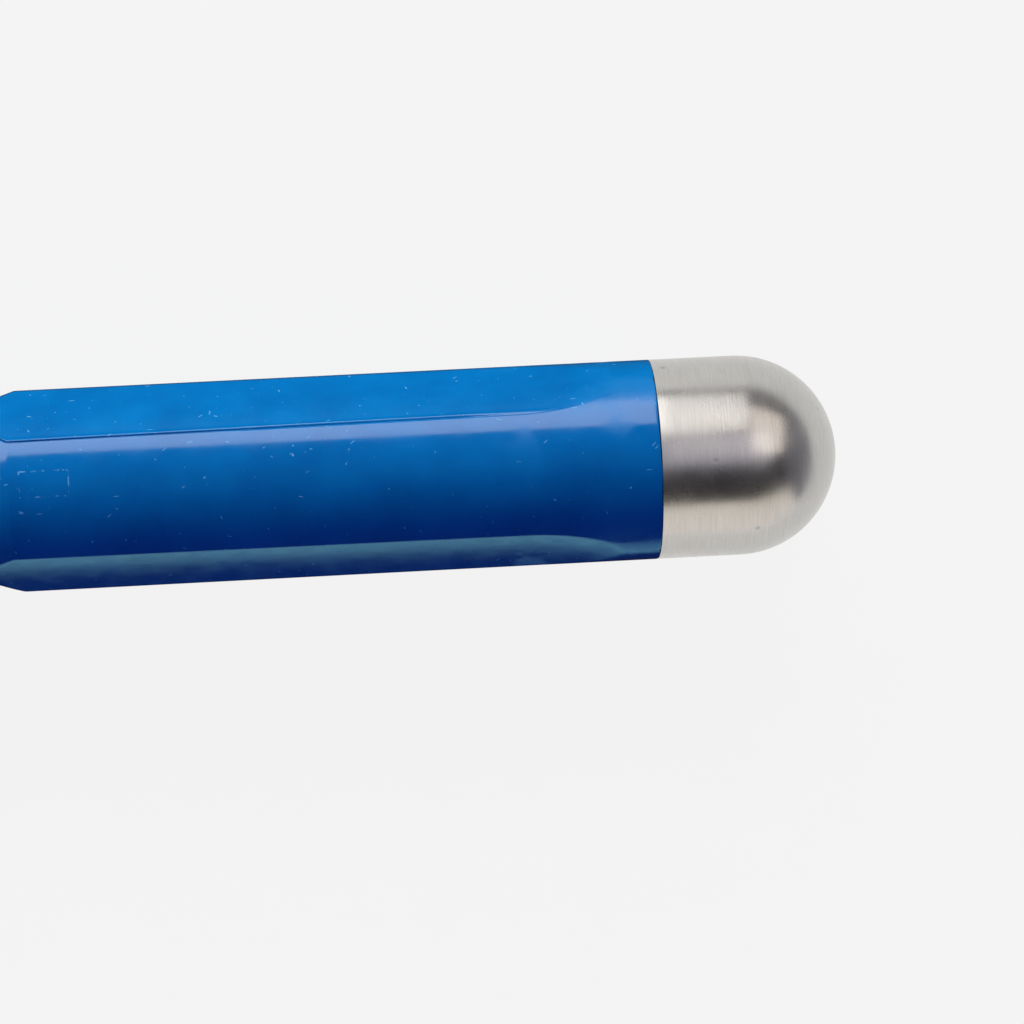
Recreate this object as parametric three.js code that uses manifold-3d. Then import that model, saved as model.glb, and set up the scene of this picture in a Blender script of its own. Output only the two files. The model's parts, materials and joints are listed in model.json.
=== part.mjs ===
// A slim 3D printing pen, as an assembly of separate pieces.
// The pen lies on its side. It is modelled with X along it, from the nozzle tip at x = 0 to the pole
// of the domed end cap, and with Z out of the flat that carries the buttons. The last lines turn it
// so that it rests on another of its three flats.
import * as THREE from 'three';
import { mergeVertices } from 'three/addons/utils/BufferGeometryUtils.js';
import Module from 'manifold-3d';

const wasm = await Module();
wasm.setup();

// Driving dimensions, in millimetres
const LENGTH = 170; // nozzle tip to the pole of the end cap
const BODY_R = 8; // round radius of the barrels and the end cap
const WALL = 1.7; // barrel wall where it is round
const FLATS = 3; // flats round each barrel, with the buttons on the first
const FLAT_FRONT = 7.26; // from the pen's axis to a flat, at the front of a barrel
const FLAT_REAR = 7.36; // and at the rear: the flats have a slight mould draft
const CHAMFER = 3; // length of the cone at each neck end of a barrel
const CHAMFER_R = 7.03; // radius at the small end of that cone
const REAR_BARREL = 50.5; // shoulder to seam
const CAP_STRAIGHT = 6.7; // straight part of the end cap, in front of its dome
const CLEAR = 0.1; // gap between pieces that touch
const FIT = 0.3; // gap between pieces that slide, or sit one in another

// Derived stations and radii
const BORE_R = BODY_R - WALL;
const DOME_X = LENGTH - BODY_R;
const SEAM_X = DOME_X - CAP_STRAIGHT;
const SHOULDER_X = SEAM_X - REAR_BARREL;
const REAR_FRONT_X = SHOULDER_X - CHAMFER;
const FRONT_REAR_X = REAR_FRONT_X - 1.6; // the neck ring's flange stands between the barrels
const GRIP_FRONT_X = 26.4;
const GRIP_REAR_X = 56;
const SLEEVE_R = BODY_R - 1.65; // the front barrel's core, under the grip
const CORE_BORE_R = SLEEVE_R - 0.75;
const TUBE_R = 1.3; // outside of the filament guide tubes
const TUBE_BORE_R = 1; // inside of them, with room round the filament
const CHANNEL_R = 0.95; // filament channel through the metal pieces
const MOTOR_R = 3.5;
const MOTOR_Y = 0.2 + MOTOR_R - BORE_R; // the gearmotor and the feed screw lie against one side
const SCREW_R = 1.8;
const ROLLER_R = 2;
const GAP_AT_SCREW = 1.5; // screw to roller, less than the filament, so that the screw bites
const TUBE_REAR_Y = MOTOR_Y + MOTOR_R + TUBE_R + CLEAR; // where the rear guide tube passes the motor
const BOARD_TOP = 3.6;
const BOARD_THICK = 0.8;
const BUTTON_PROUD = 0.5;
const SIDES = 36; // facets round the shells
const FINE = 16; // facets round the inner pieces

const BLUE = 0x0a76c4;
// Each finish: its colour, roughness and metalness
const finishes = {
  blue_abs: [BLUE, 0.18, 0],
  brushed_aluminium: [0xb9b7b4, 0.35, 1],
  soft_grip: [0x23272d, 0.85, 0],
  nose_resin: [0x2b2c2e, 0.55, 0],
  black_resin: [0x1b1c1e, 0.45, 0],
  button_resin: [0xd9dde0, 0.35, 0],
  brass: [0xb08d4c, 0.3, 1],
  steel: [0x9a9c9f, 0.35, 1],
  sink_aluminium: [0xa9adb1, 0.4, 1],
  ceramic: [0xeeebe4, 0.5, 0],
  glass_fibre: [0xd8c9a0, 0.9, 0],
  ptfe: [0xf1f3f2, 0.4, 0],
  board_green: [0x1d5a3a, 0.5, 0],
  chip_black: [0x17181a, 0.6, 0],
  lead_red: [0xa8231d, 0.5, 0],
  lead_black: [0x18191b, 0.5, 0],
  seal_rubber: [0x1f2022, 0.9, 0],
  light_pipe: [0xe8f2ee, 0.1, 0],
};

// ---- solids ----

function solid(geometry) {
  const bare = geometry.clone();
  bare.deleteAttribute('normal');
  bare.deleteAttribute('uv');
  const merged = mergeVertices(bare, 1e-4);
  const corners = merged.index.array;
  const triVerts = [];
  for (let i = 0; i < corners.length; i += 3) {
    const [a, b, c] = corners.slice(i, i + 3);
    if (a !== b && b !== c && c !== a) triVerts.push(a, b, c);
  }
  const mesh = new wasm.Mesh({
    numProp: 3,
    vertProperties: new Float32Array(merged.attributes.position.array),
    triVerts: new Uint32Array(triVerts),
  });
  return new wasm.Manifold(mesh);
}

const cut = (shape, ...tools) => tools.reduce((left, tool) => left.subtract(tool), shape);
const join = (shape, ...more) => more.reduce((sum, next) => sum.add(next), shape);
const turnAboutX = (geometry, degrees) => geometry.rotateX(THREE.MathUtils.degToRad(degrees));

// A turned piece on the line y, z along X: the profile is [x, radius] pairs, forwards along the
// outside and back along the inside.
function turned(profile, sides = FINE, y = 0, z = 0) {
  const points = profile.map(([x, r]) => new THREE.Vector2(r, x));
  return solid(new THREE.LatheGeometry(points, sides).rotateZ(-Math.PI / 2).translate(0, y, z));
}

const rod = (x0, x1, r, y = 0, z = 0, sides = FINE) =>
  turned([[x0, 0], [x0, r], [x1, r], [x1, 0]], sides, y, z);

const pipe = (x0, x1, r, bore, y = 0, z = 0, sides = FINE) =>
  turned([[x0, bore], [x0, r], [x1, r], [x1, bore], [x0, bore]], sides, y, z);

// A quarter circle in a profile, round x = centre, from the full radius to the axis
function dome(centre, r, steps) {
  const arc = [];
  for (let i = 0; i <= steps; i += 1) {
    const angle = (Math.PI / 2) * (i / steps);
    arc.push([centre + r * Math.sin(angle), i === steps ? 0 : r * Math.cos(angle)]);
  }
  return arc;
}

function block(x0, x1, y0, y1, z0, z1) {
  const box = new THREE.BoxGeometry(x1 - x0, y1 - y0, z1 - z0);
  return solid(box.translate((x0 + x1) / 2, (y0 + y1) / 2, (z0 + z1) / 2));
}

// An upright post or hole along Z
function post(x, y, z0, z1, r, sides = FINE) {
  const upright = new THREE.CylinderGeometry(r, r, z1 - z0, sides).rotateX(Math.PI / 2);
  return solid(upright.translate(x, y, (z0 + z1) / 2));
}

// A slot outline with round ends along X, as an upright piece
function obround(x, length, width, z0, z1) {
  const r = width / 2;
  const reach = length / 2 - r;
  const outline = new THREE.Shape();
  outline.absarc(reach, 0, r, -Math.PI / 2, Math.PI / 2);
  outline.absarc(-reach, 0, r, Math.PI / 2, (3 * Math.PI) / 2);
  const settings = { depth: z1 - z0, bevelEnabled: false, curveSegments: 8 };
  return solid(new THREE.ExtrudeGeometry(outline, settings).translate(x, 0, z0));
}

// A section in the plane across the pen, drawn as (y, z) and run along X
function along(section, x0, x1, curveSegments = 12) {
  const run = new THREE.ExtrudeGeometry(section, { depth: x1 - x0, bevelEnabled: false, curveSegments });
  run.applyMatrix4(new THREE.Matrix4().set(0, 0, 1, x0, 1, 0, 0, 0, 0, 1, 0, 0, 0, 0, 0, 1));
  return solid(run);
}

// The part of a disc that lies below a level
function discBelow(r, level) {
  const edge = Math.asin(level / r);
  const section = new THREE.Shape();
  section.absarc(0, 0, r, Math.PI - edge, 2 * Math.PI + edge);
  section.closePath();
  return section;
}

// A round wire or tube along a smooth line through points
function wire(points, r, sides, steps, bore = 0) {
  const ring = new THREE.Shape().absarc(0, 0, r, 0, 2 * Math.PI);
  if (bore > 0) ring.holes.push(new THREE.Path().absarc(0, 0, bore, 0, 2 * Math.PI, true));
  const stops = points.map(([x, y, z]) => new THREE.Vector3(x, y, z));
  const extrudePath = new THREE.CatmullRomCurve3(stops, false, 'centripetal');
  const settings = { steps, extrudePath, bevelEnabled: false, curveSegments: sides };
  return solid(new THREE.ExtrudeGeometry(ring, settings));
}

// ---- the flats of the body ----

// What a flat takes off a round body: everything above an outline drawn along the pen
function flatCutter(outline, turn) {
  const shape = new THREE.Shape(outline.getPoints(4));
  const slab = new THREE.ExtrudeGeometry(shape, { depth: 2 * BODY_R, bevelEnabled: false });
  slab.rotateX(Math.PI / 2).translate(0, BODY_R, 0);
  return solid(turnAboutX(slab, turn));
}

function withFlats(body, outline) {
  const turns = Array.from({ length: FLATS }, (_, i) => (360 / FLATS) * i);
  return cut(body, ...turns.map((turn) => flatCutter(outline, turn)));
}

// ---- shells ----

const RUN_OUT_START_X = SEAM_X - 10.6; // where a rear flat starts to rise
const RUN_OUT_END_X = SEAM_X - 2.8; // where it has risen to the round surface
const CUT_TOP = 12;

function rearBarrel() {
  const body = turned([
    [REAR_FRONT_X, BORE_R], [REAR_FRONT_X, CHAMFER_R], [SHOULDER_X, BODY_R],
    [SEAM_X - CLEAR, BODY_R], [SEAM_X - CLEAR, BORE_R], [REAR_FRONT_X, BORE_R],
  ], SIDES);
  const outline = new THREE.Shape();
  outline.moveTo(REAR_FRONT_X - 1, FLAT_FRONT);
  outline.lineTo(RUN_OUT_START_X, FLAT_REAR);
  outline.quadraticCurveTo((RUN_OUT_START_X + RUN_OUT_END_X) / 2, FLAT_REAR, RUN_OUT_END_X, BODY_R);
  outline.lineTo(RUN_OUT_END_X + 1, CUT_TOP);
  outline.lineTo(REAR_FRONT_X - 1, CUT_TOP);
  return withFlats(body, outline);
}

const LIGHT_X = 62;
const FEED_X = 71;
const RETRACT_X = 81.5;
const SLIDER_X = 90.8;
const BUTTON_WIDTH = 4.4;
const FEED_LENGTH = 10;
const RETRACT_LENGTH = 7;
const SLIDER_TRAVEL = 2.4; // each way from the middle
const STEM_LENGTH = 2;
const STEM_WIDTH = 1.3;
const LIGHT_R = 0.9;

function frontBarrel() {
  const body = turned([
    [GRIP_FRONT_X, CORE_BORE_R], [GRIP_FRONT_X, SLEEVE_R], [GRIP_REAR_X, SLEEVE_R],
    [GRIP_REAR_X, BODY_R - 0.3], [GRIP_REAR_X + 0.5, BODY_R], [FRONT_REAR_X - CHAMFER, BODY_R],
    [FRONT_REAR_X, CHAMFER_R], [FRONT_REAR_X, BORE_R], [GRIP_REAR_X + 1, BORE_R],
    [GRIP_REAR_X + 1, CORE_BORE_R], [GRIP_FRONT_X, CORE_BORE_R],
  ], SIDES);
  const outline = new THREE.Shape();
  outline.moveTo(GRIP_FRONT_X, FLAT_FRONT);
  outline.lineTo(FRONT_REAR_X + 1, FLAT_REAR - 0.04);
  outline.lineTo(FRONT_REAR_X + 1, CUT_TOP);
  outline.lineTo(GRIP_FRONT_X, CUT_TOP);
  const top = CUT_TOP;
  const slotLength = 2 * SLIDER_TRAVEL + STEM_LENGTH + 2 * FIT;
  return cut(
    withFlats(body, outline),
    obround(FEED_X, FEED_LENGTH + 2 * FIT, BUTTON_WIDTH + 2 * FIT, 0, top),
    obround(RETRACT_X, RETRACT_LENGTH + 2 * FIT, BUTTON_WIDTH + 2 * FIT, 0, top),
    obround(SLIDER_X, slotLength, STEM_WIDTH + 2 * FIT, 0, top),
    post(LIGHT_X, 0, 0, top, LIGHT_R + 0.25),
  );
}

const GRIP_CORNER_R = 8.55;
const GRIP_NOSE_R = 7.1;
const GRIP_STRAIGHT_X = GRIP_REAR_X - 12.3;

function gripSleeve() {
  const front = GRIP_FRONT_X + 0.2;
  const rear = GRIP_REAR_X - CLEAR - 0.2;
  const body = turned([
    [front, SLEEVE_R + 0.15], [front, GRIP_NOSE_R], [GRIP_STRAIGHT_X, GRIP_CORNER_R], [rear, GRIP_CORNER_R],
    [rear, SLEEVE_R + 0.15], [front, SLEEVE_R + 0.15],
  ], SIDES);
  const outline = new THREE.Shape();
  outline.moveTo(front - 1, GRIP_NOSE_R - 0.35);
  outline.lineTo(GRIP_STRAIGHT_X, BODY_R);
  outline.lineTo(GRIP_REAR_X + 1, BODY_R);
  outline.lineTo(GRIP_REAR_X + 1, CUT_TOP);
  outline.lineTo(front - 1, CUT_TOP);
  return withFlats(body, outline);
}

function noseCowl() {
  const rear = GRIP_FRONT_X - 0.2;
  return turned([
    [4.8, 2.6], [4.8, 3.3], [6, 3.9], [rear, 6.75], [rear, 5.4], [31, 5.4],
    [31, 4.9], [rear, 4.9], [9, 3.25], [6.4, 3.1], [6, 2.6], [4.8, 2.6],
  ], SIDES);
}

const NECK_R = 5.7; // inside of the neck ring's sleeve
const NECK_FRONT_X = FRONT_REAR_X - 4.6;
const NECK_REAR_X = REAR_FRONT_X + 4.4;

function neckRing() {
  return turned([
    [NECK_FRONT_X, NECK_R], [NECK_FRONT_X, BORE_R - CLEAR], [FRONT_REAR_X + CLEAR, BORE_R - CLEAR],
    [FRONT_REAR_X + CLEAR, 6.85], [REAR_FRONT_X - CLEAR, 6.85], [REAR_FRONT_X - CLEAR, BORE_R - CLEAR],
    [NECK_REAR_X, BORE_R - CLEAR], [NECK_REAR_X, NECK_R], [NECK_FRONT_X, NECK_R],
  ], SIDES);
}

const CAP_BORE_R = BODY_R - 1.1;

function endCap() {
  const inner = dome(DOME_X, CAP_BORE_R, 5).reverse();
  return turned([...inner, [SEAM_X, CAP_BORE_R], [SEAM_X, BODY_R], ...dome(DOME_X, BODY_R, 8)], SIDES);
}

// ---- filament and power inlet, under the end cap ----

const PLUG_FRONT_X = SEAM_X - 5.1;
const PLUG_REAR_X = SEAM_X + 4.6;
const SPIGOT_R = CAP_BORE_R - FIT;
const SEAL_X = SEAM_X + 1.6;
const SEAL_SECTION_R = 0.42;
const SEAL_R = CAP_BORE_R - SEAL_SECTION_R - 0.08;
const SOCKET_Y = -1.9; // the power socket, beside the filament inlet
const SOCKET_LONG = 8.94;
const SOCKET_THICK = 3.16;
const SOCKET_WALL = 0.3;
const SOCKET_FRONT_X = PLUG_FRONT_X - FIT;
const BUSHING_R = 2.1;
const BUSHING_X = PLUG_REAR_X - 2.8;

// The socket's outline across the pen: a slot with round ends, its long side along Z
function socketSection(inset) {
  const r = SOCKET_THICK / 2 - inset;
  const reach = (SOCKET_LONG - SOCKET_THICK) / 2;
  const section = new THREE.Shape();
  section.absarc(SOCKET_Y, reach, r, 0, Math.PI);
  section.absarc(SOCKET_Y, -reach, r, Math.PI, 2 * Math.PI);
  return section;
}

function inletPlug() {
  const grooveR = SEAL_R - SEAL_SECTION_R - CLEAR;
  const halfGroove = SEAL_SECTION_R + CLEAR;
  const body = turned([
    [PLUG_FRONT_X, 0], [PLUG_FRONT_X, BORE_R - CLEAR], [SEAM_X, BORE_R - CLEAR], [SEAM_X, SPIGOT_R],
    [SEAL_X - halfGroove, SPIGOT_R], [SEAL_X - halfGroove, grooveR],
    [SEAL_X + halfGroove, grooveR], [SEAL_X + halfGroove, SPIGOT_R],
    [PLUG_REAR_X - 0.5, SPIGOT_R], [PLUG_REAR_X, SPIGOT_R - 0.5], [PLUG_REAR_X, 0],
  ], SIDES);
  return cut(
    body,
    along(socketSection(-0.2), PLUG_FRONT_X - 1, PLUG_REAR_X + 1, 8),
    rod(PLUG_FRONT_X - 1, PLUG_REAR_X + 1, TUBE_R + 0.2, TUBE_REAR_Y),
    rod(BUSHING_X - CLEAR, PLUG_REAR_X + 1, BUSHING_R + 0.2, TUBE_REAR_Y),
  );
}

function capSeal() {
  const seal = new THREE.TorusGeometry(SEAL_R, SEAL_SECTION_R, 6, SIDES);
  return solid(seal.rotateY(Math.PI / 2).translate(SEAL_X, 0, 0));
}

function inletBushing() {
  return turned([
    [BUSHING_X, CHANNEL_R], [BUSHING_X, BUSHING_R], [PLUG_REAR_X, BUSHING_R],
    [PLUG_REAR_X, BUSHING_R - 0.3], [PLUG_REAR_X - 1.4, CHANNEL_R], [BUSHING_X, CHANNEL_R],
  ], FINE, TUBE_REAR_Y);
}

function socketShell() {
  const outside = along(socketSection(0), SOCKET_FRONT_X, PLUG_REAR_X - CLEAR, 8);
  return cut(outside, along(socketSection(SOCKET_WALL), SOCKET_FRONT_X + 0.5, PLUG_REAR_X + 1, 8));
}

const socketTongue = () =>
  block(SOCKET_FRONT_X + 0.6, PLUG_REAR_X - 1, SOCKET_Y - 0.35, SOCKET_Y + 0.35, -3.3, 3.3);

function socketBoard() {
  const rear = SOCKET_FRONT_X - CLEAR;
  const plate = along(discBelow(6, 3.4), rear - BOARD_THICK, rear);
  return cut(plate, rod(rear - 2, rear + 1, TUBE_R + 0.2, TUBE_REAR_Y));
}

// ---- hot end ----

const NOZZLE_REAR_X = 8.8;
const BARREL_REAR_X = 27;
const SINK_X = 34;
const SINK_REAR_X = 50;
const FINS = 6;
const FIN_THICK = 0.9;

function nozzle() {
  return turned([
    [0, 0.3], [0, 0.6], [3.2, 1.9], [6.2, 1.9], [6.2, 1.5], [NOZZLE_REAR_X, 1.5],
    [NOZZLE_REAR_X, CHANNEL_R], [2.2, CHANNEL_R], [1.2, 0.3], [0, 0.3],
  ]);
}

function heatSink() {
  const pitch = (SINK_REAR_X - SINK_X - FIN_THICK) / (FINS - 1);
  const profile = [[SINK_X, CHANNEL_R]];
  for (let i = 0; i < FINS; i += 1) {
    const x = SINK_X + i * pitch;
    if (i > 0) profile.push([x, 2.2]);
    profile.push([x, 5.2], [x + FIN_THICK, 5.2]);
    if (i < FINS - 1) profile.push([x + FIN_THICK, 2.2]);
  }
  const stop = SINK_REAR_X - 4; // the guide tube ends on this step
  profile.push([SINK_REAR_X, TUBE_R + CLEAR], [stop, TUBE_R + CLEAR], [stop, CHANNEL_R]);
  profile.push([SINK_X, CHANNEL_R]);
  return cut(turned(profile, 20), block(SINK_X - 1, SINK_REAR_X + 1, -6, 6, 3.3, 7));
}

function thermistor() {
  const bead = new THREE.CapsuleGeometry(0.42, 0.9, 4, 10).rotateZ(-Math.PI / 2);
  return solid(bead.translate(21.6, 2.15, 0));
}

// ---- feed drive ----

const SCREW_X = 105.8; // front end of the feed screw's thread
const SCREW_TURNS = 6;
const SCREW_PITCH = 0.8;
const PLATE_X = 126.4; // motor plate
const PLATE_THICK = 1.4;
const GEARBOX_X = PLATE_X + PLATE_THICK + CLEAR;
const MOTOR_X = GEARBOX_X + 8.2;
const BELL_X = MOTOR_X + 8.6;
const TERMINAL_X = BELL_X + 1.2;
const SHAFT_R = 0.75;
const BUSH_R = 1.3;
const FRAME_R = NECK_R - CLEAR;
const RAIL_TOP = -4.5;
const FRAME_FRONT_X = REAR_FRONT_X + 1.4;
const BEARING_X = FRAME_FRONT_X + 1.6;
const ROLLER_X = 108.2;
const ROLLER_Y = MOTOR_Y + SCREW_R + GAP_AT_SCREW + ROLLER_R;
const PIVOT_X = 114.2;
const PIVOT_Y = 3;
const ARM_IN = 1.8; // the arm's two cheeks stand this far from the middle
const ARM_OUT = 2.5;

function driveFrame() {
  const railRear = SOCKET_FRONT_X - BOARD_THICK - 3 * CLEAR;
  const disc = discBelow(FRAME_R, 3.9);
  const body = join(
    along(discBelow(FRAME_R, RAIL_TOP), FRAME_FRONT_X, railRear),
    along(disc, FRAME_FRONT_X, BEARING_X),
    along(disc, PLATE_X, PLATE_X + PLATE_THICK),
    post(PIVOT_X, PIVOT_Y - 0.2, RAIL_TOP - 0.1, -2.9, 1.2),
  );
  return cut(
    body,
    rod(FRAME_FRONT_X - 1, BEARING_X + 1, BUSH_R + CLEAR, MOTOR_Y),
    rod(FRAME_FRONT_X - 1, BEARING_X + 1, CHANNEL_R),
    rod(PLATE_X - 1, GEARBOX_X + 1, SHAFT_R + 0.35, MOTOR_Y),
    rod(PLATE_X - 1, GEARBOX_X + 1, TUBE_R + 0.2, TUBE_REAR_Y),
    ...[-1, 1].map((side) => rod(PLATE_X - 1, GEARBOX_X + 1, 0.7, MOTOR_Y + 2.2 * side, 0, 12)),
    post(PIVOT_X, PIVOT_Y, RAIL_TOP, 0, 0.65),
  );
}

function feedScrew() {
  const length = SCREW_TURNS * SCREW_PITCH;
  const core = turned([
    [FRAME_FRONT_X + CLEAR, 0], [FRAME_FRONT_X + CLEAR, SHAFT_R], [SCREW_X - 0.5, SHAFT_R],
    [SCREW_X - 0.5, SCREW_R - 0.35], [SCREW_X + length + 0.5, SCREW_R - 0.35],
    [SCREW_X + length + 0.5, SHAFT_R], [GEARBOX_X + 2, SHAFT_R], [GEARBOX_X + 2, 0],
  ], 16, MOTOR_Y);
  const points = [];
  for (let i = 0; i <= SCREW_TURNS * 8; i += 1) {
    const angle = (2 * Math.PI * i) / 8;
    const r = SCREW_R - 0.24;
    points.push([SCREW_X + (i / 8) * SCREW_PITCH, MOTOR_Y + r * Math.cos(angle), r * Math.sin(angle)]);
  }
  return join(core, wire(points, 0.24, 2, points.length - 1));
}

function gearbox() {
  const body = rod(GEARBOX_X, MOTOR_X - CLEAR, MOTOR_R, MOTOR_Y, 0, 24);
  const holes = [-1, 1].map((side) => rod(GEARBOX_X - 1, GEARBOX_X + 2, 0.7, MOTOR_Y + 2.2 * side, 0, 12));
  return cut(body, rod(GEARBOX_X - 1, GEARBOX_X + 2.4, SHAFT_R + 0.2, MOTOR_Y), ...holes);
}

const motorCan = () => rod(MOTOR_X, BELL_X - CLEAR, MOTOR_R, MOTOR_Y, 0, 24);
const motorBell = () => rod(BELL_X, TERMINAL_X - CLEAR, MOTOR_R - 0.15, MOTOR_Y, 0, 24);

const motorTerminal = (side) =>
  block(TERMINAL_X, TERMINAL_X + 0.8, MOTOR_Y - 0.35, MOTOR_Y + 0.35, 1.7 * side - 0.4, 1.7 * side + 0.4);

const motorScrew = (side) => turned([
  [PLATE_X - 0.7, 0], [PLATE_X - 0.7, 0.8], [PLATE_X - CLEAR, 0.8], [PLATE_X - CLEAR, 0.45],
  [GEARBOX_X + 1.6, 0.45], [GEARBOX_X + 1.6, 0],
], 12, MOTOR_Y + 2.2 * side);

function idlerRoller() {
  const profile = [[-1.5, 0.7], [-1.5, ROLLER_R], [-0.6, ROLLER_R], [0, ROLLER_R - 0.25],
    [0.6, ROLLER_R], [1.5, ROLLER_R], [1.5, 0.7], [-1.5, 0.7]];
  const points = profile.map(([z, r]) => new THREE.Vector2(r, z));
  return solid(new THREE.LatheGeometry(points, 20).rotateX(Math.PI / 2).translate(ROLLER_X, ROLLER_Y, 0));
}

// A cheek of the arm: the outline that wraps the roller's axle and the pivot
function armCheek(z0, z1) {
  const outline = new THREE.Shape();
  outline.absarc(ROLLER_X, ROLLER_Y, 1.3, Math.PI / 2, (3 * Math.PI) / 2);
  outline.absarc(PIVOT_X, PIVOT_Y, 1.4, -Math.PI / 2, Math.PI / 2);
  const settings = { depth: z1 - z0, bevelEnabled: false, curveSegments: 8 };
  return solid(new THREE.ExtrudeGeometry(outline, settings).translate(0, 0, z0));
}

function idlerArm() {
  const bridge = block(ROLLER_X + ROLLER_R + 0.4, PIVOT_X - 1.7, 2.4, 4.6, -ARM_OUT, ARM_OUT);
  const body = join(armCheek(-ARM_OUT, -ARM_IN), armCheek(ARM_IN, ARM_OUT), bridge);
  const axleHole = post(ROLLER_X, ROLLER_Y, -CUT_TOP, CUT_TOP, 0.65);
  return cut(body, axleHole, post(PIVOT_X, PIVOT_Y, -CUT_TOP, CUT_TOP, 0.6));
}

function idlerSpring() {
  const points = [[PIVOT_X - 1.1, PIVOT_Y + 1.3, -1.2]];
  const turns = 3;
  for (let i = 0; i <= turns * 10; i += 1) {
    const angle = (2 * Math.PI * i) / 10 + Math.PI / 2;
    points.push([PIVOT_X + Math.cos(angle), PIVOT_Y + Math.sin(angle), -1.2 + (2.4 * i) / (turns * 10)]);
  }
  points.push([PIVOT_X + 2.6, PIVOT_Y + 1, 1.25]);
  return wire(points, 0.16, 2, 36);
}

// The rear guide tube runs beside the motor, and then bends in to the line of the nozzle.
function rearGuideTube() {
  const start = SCREW_X + SCREW_TURNS * SCREW_PITCH + 0.9;
  const end = PLATE_X - 0.6;
  const points = [];
  for (let i = 0; i <= 8; i += 1) {
    const u = i / 8;
    points.push([start + u * (end - start), TUBE_REAR_Y * u * u * (3 - 2 * u), 0]);
  }
  for (const x of [PLATE_X + 4, MOTOR_X, BELL_X, PLUG_FRONT_X]) points.push([x, TUBE_REAR_Y, 0]);
  points.push([BUSHING_X - 2 * CLEAR, TUBE_REAR_Y, 0]);
  return wire(points, TUBE_R, 4, 24, TUBE_BORE_R);
}

// ---- electronics and controls ----

const TRAY_FRONT_X = GRIP_REAR_X + 1.3;
const TRAY_REAR_X = NECK_FRONT_X - 0.4;
const BOARD_FRONT_X = TRAY_FRONT_X + CLEAR;
const SWITCH_TOP = 4.4;
const BUTTON_BOTTOM = 5;
const BOARD_SCREW_X = TRAY_FRONT_X + 1.2;
const BOARD_SCREW_Y = 3.6;

const boardScrewHoles = () =>
  [-1, 1].map((side) => post(BOARD_SCREW_X, side * BOARD_SCREW_Y, 0, CUT_TOP, 0.7, 12));

function boardTray() {
  const disc = discBelow(BORE_R - 0.2, BOARD_TOP - BOARD_THICK - CLEAR);
  const body = join(
    along(discBelow(BORE_R - 0.2, RAIL_TOP), TRAY_FRONT_X, TRAY_REAR_X),
    along(disc, TRAY_FRONT_X, TRAY_FRONT_X + 2.4),
    along(disc, TRAY_REAR_X - 2.2, TRAY_REAR_X),
  );
  return cut(body, rod(TRAY_FRONT_X - 1, TRAY_REAR_X + 1, TUBE_R + 0.2), ...boardScrewHoles());
}

function circuitBoard() {
  const plate = block(BOARD_FRONT_X, TRAY_REAR_X, -4.9, 4.9, BOARD_TOP - BOARD_THICK, BOARD_TOP);
  return cut(plate, ...boardScrewHoles());
}

function boardScrew(side) {
  const head = post(BOARD_SCREW_X, side * BOARD_SCREW_Y, BOARD_TOP + CLEAR, BOARD_TOP + 0.55, 0.85, 16);
  return join(head, post(BOARD_SCREW_X, side * BOARD_SCREW_Y, 0.6, BOARD_TOP + 0.2, 0.45, 12));
}

const chip = (x, length, width, depth) => {
  const top = BOARD_TOP - BOARD_THICK - CLEAR;
  return block(x - length / 2, x + length / 2, -width / 2, width / 2, top - depth, top);
};

function tactSwitch(x) {
  const body = block(x - 1.6, x + 1.6, -1.4, 1.4, BOARD_TOP + 0.05, SWITCH_TOP);
  return cut(body, post(x, 0, BOARD_TOP - 1, SWITCH_TOP + 1, 0.85));
}

const switchPlunger = (x) => post(x, 0, BOARD_TOP + 0.6, BUTTON_BOTTOM - 0.05, 0.55, 16);

// A button: its cap passes through the window, and a lip at each end keeps it in
function pushButton(x, length) {
  const cap = obround(x, length, BUTTON_WIDTH, BUTTON_BOTTOM, FLAT_FRONT + BUTTON_PROUD);
  return join(cap, obround(x, length + 2, BUTTON_WIDTH - 0.2, BUTTON_BOTTOM, BUTTON_BOTTOM + 0.6));
}

function speedKnob() {
  const floor = FLAT_REAR + 0.05;
  const half = STEM_LENGTH / 2;
  const pad = block(SLIDER_X - 2.1, SLIDER_X + 2.1, -1.9, 1.9, floor, floor + 0.55);
  const ribs = [-1.2, 0, 1.2].map((x) =>
    block(SLIDER_X + x - 0.25, SLIDER_X + x + 0.25, -1.7, 1.7, floor + 0.4, floor + 0.75));
  const stem = block(SLIDER_X - half, SLIDER_X + half, -STEM_WIDTH / 2, STEM_WIDTH / 2, 5.1, floor + 0.1);
  const socket = block(SLIDER_X - 0.6, SLIDER_X + 0.6, -0.4, 0.4, 4, 6.6);
  return cut(join(pad, stem, ...ribs), socket);
}

const potLever = () => block(SLIDER_X - 0.45, SLIDER_X + 0.45, -0.25, 0.25, 4.6, 6.4);

function slidePot() {
  const body = block(SLIDER_X - 4.4, SLIDER_X + 4.4, -2.2, 2.2, BOARD_TOP + 0.05, 4.7);
  const reach = SLIDER_TRAVEL + 0.8;
  return cut(body, block(SLIDER_X - reach, SLIDER_X + reach, -0.5, 0.5, 4.2, 5));
}

const statusLight = () => block(LIGHT_X - 0.8, LIGHT_X + 0.8, -0.4, 0.4, BOARD_TOP + 0.05, 4.3);
const lightPipe = () => post(LIGHT_X, 0, 4.5, FLAT_FRONT + 0.05, LIGHT_R);

// ---- leads held inside, along their real routes ----

const LEAD_R = 0.33;
const LEAD_Z = 4.6; // over the motor, and through the neck ring
const BOARD_LEAD_Z = BOARD_TOP + LEAD_R + 0.07;
const lead = (points, steps) => wire(points, LEAD_R, 2, steps);

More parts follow.
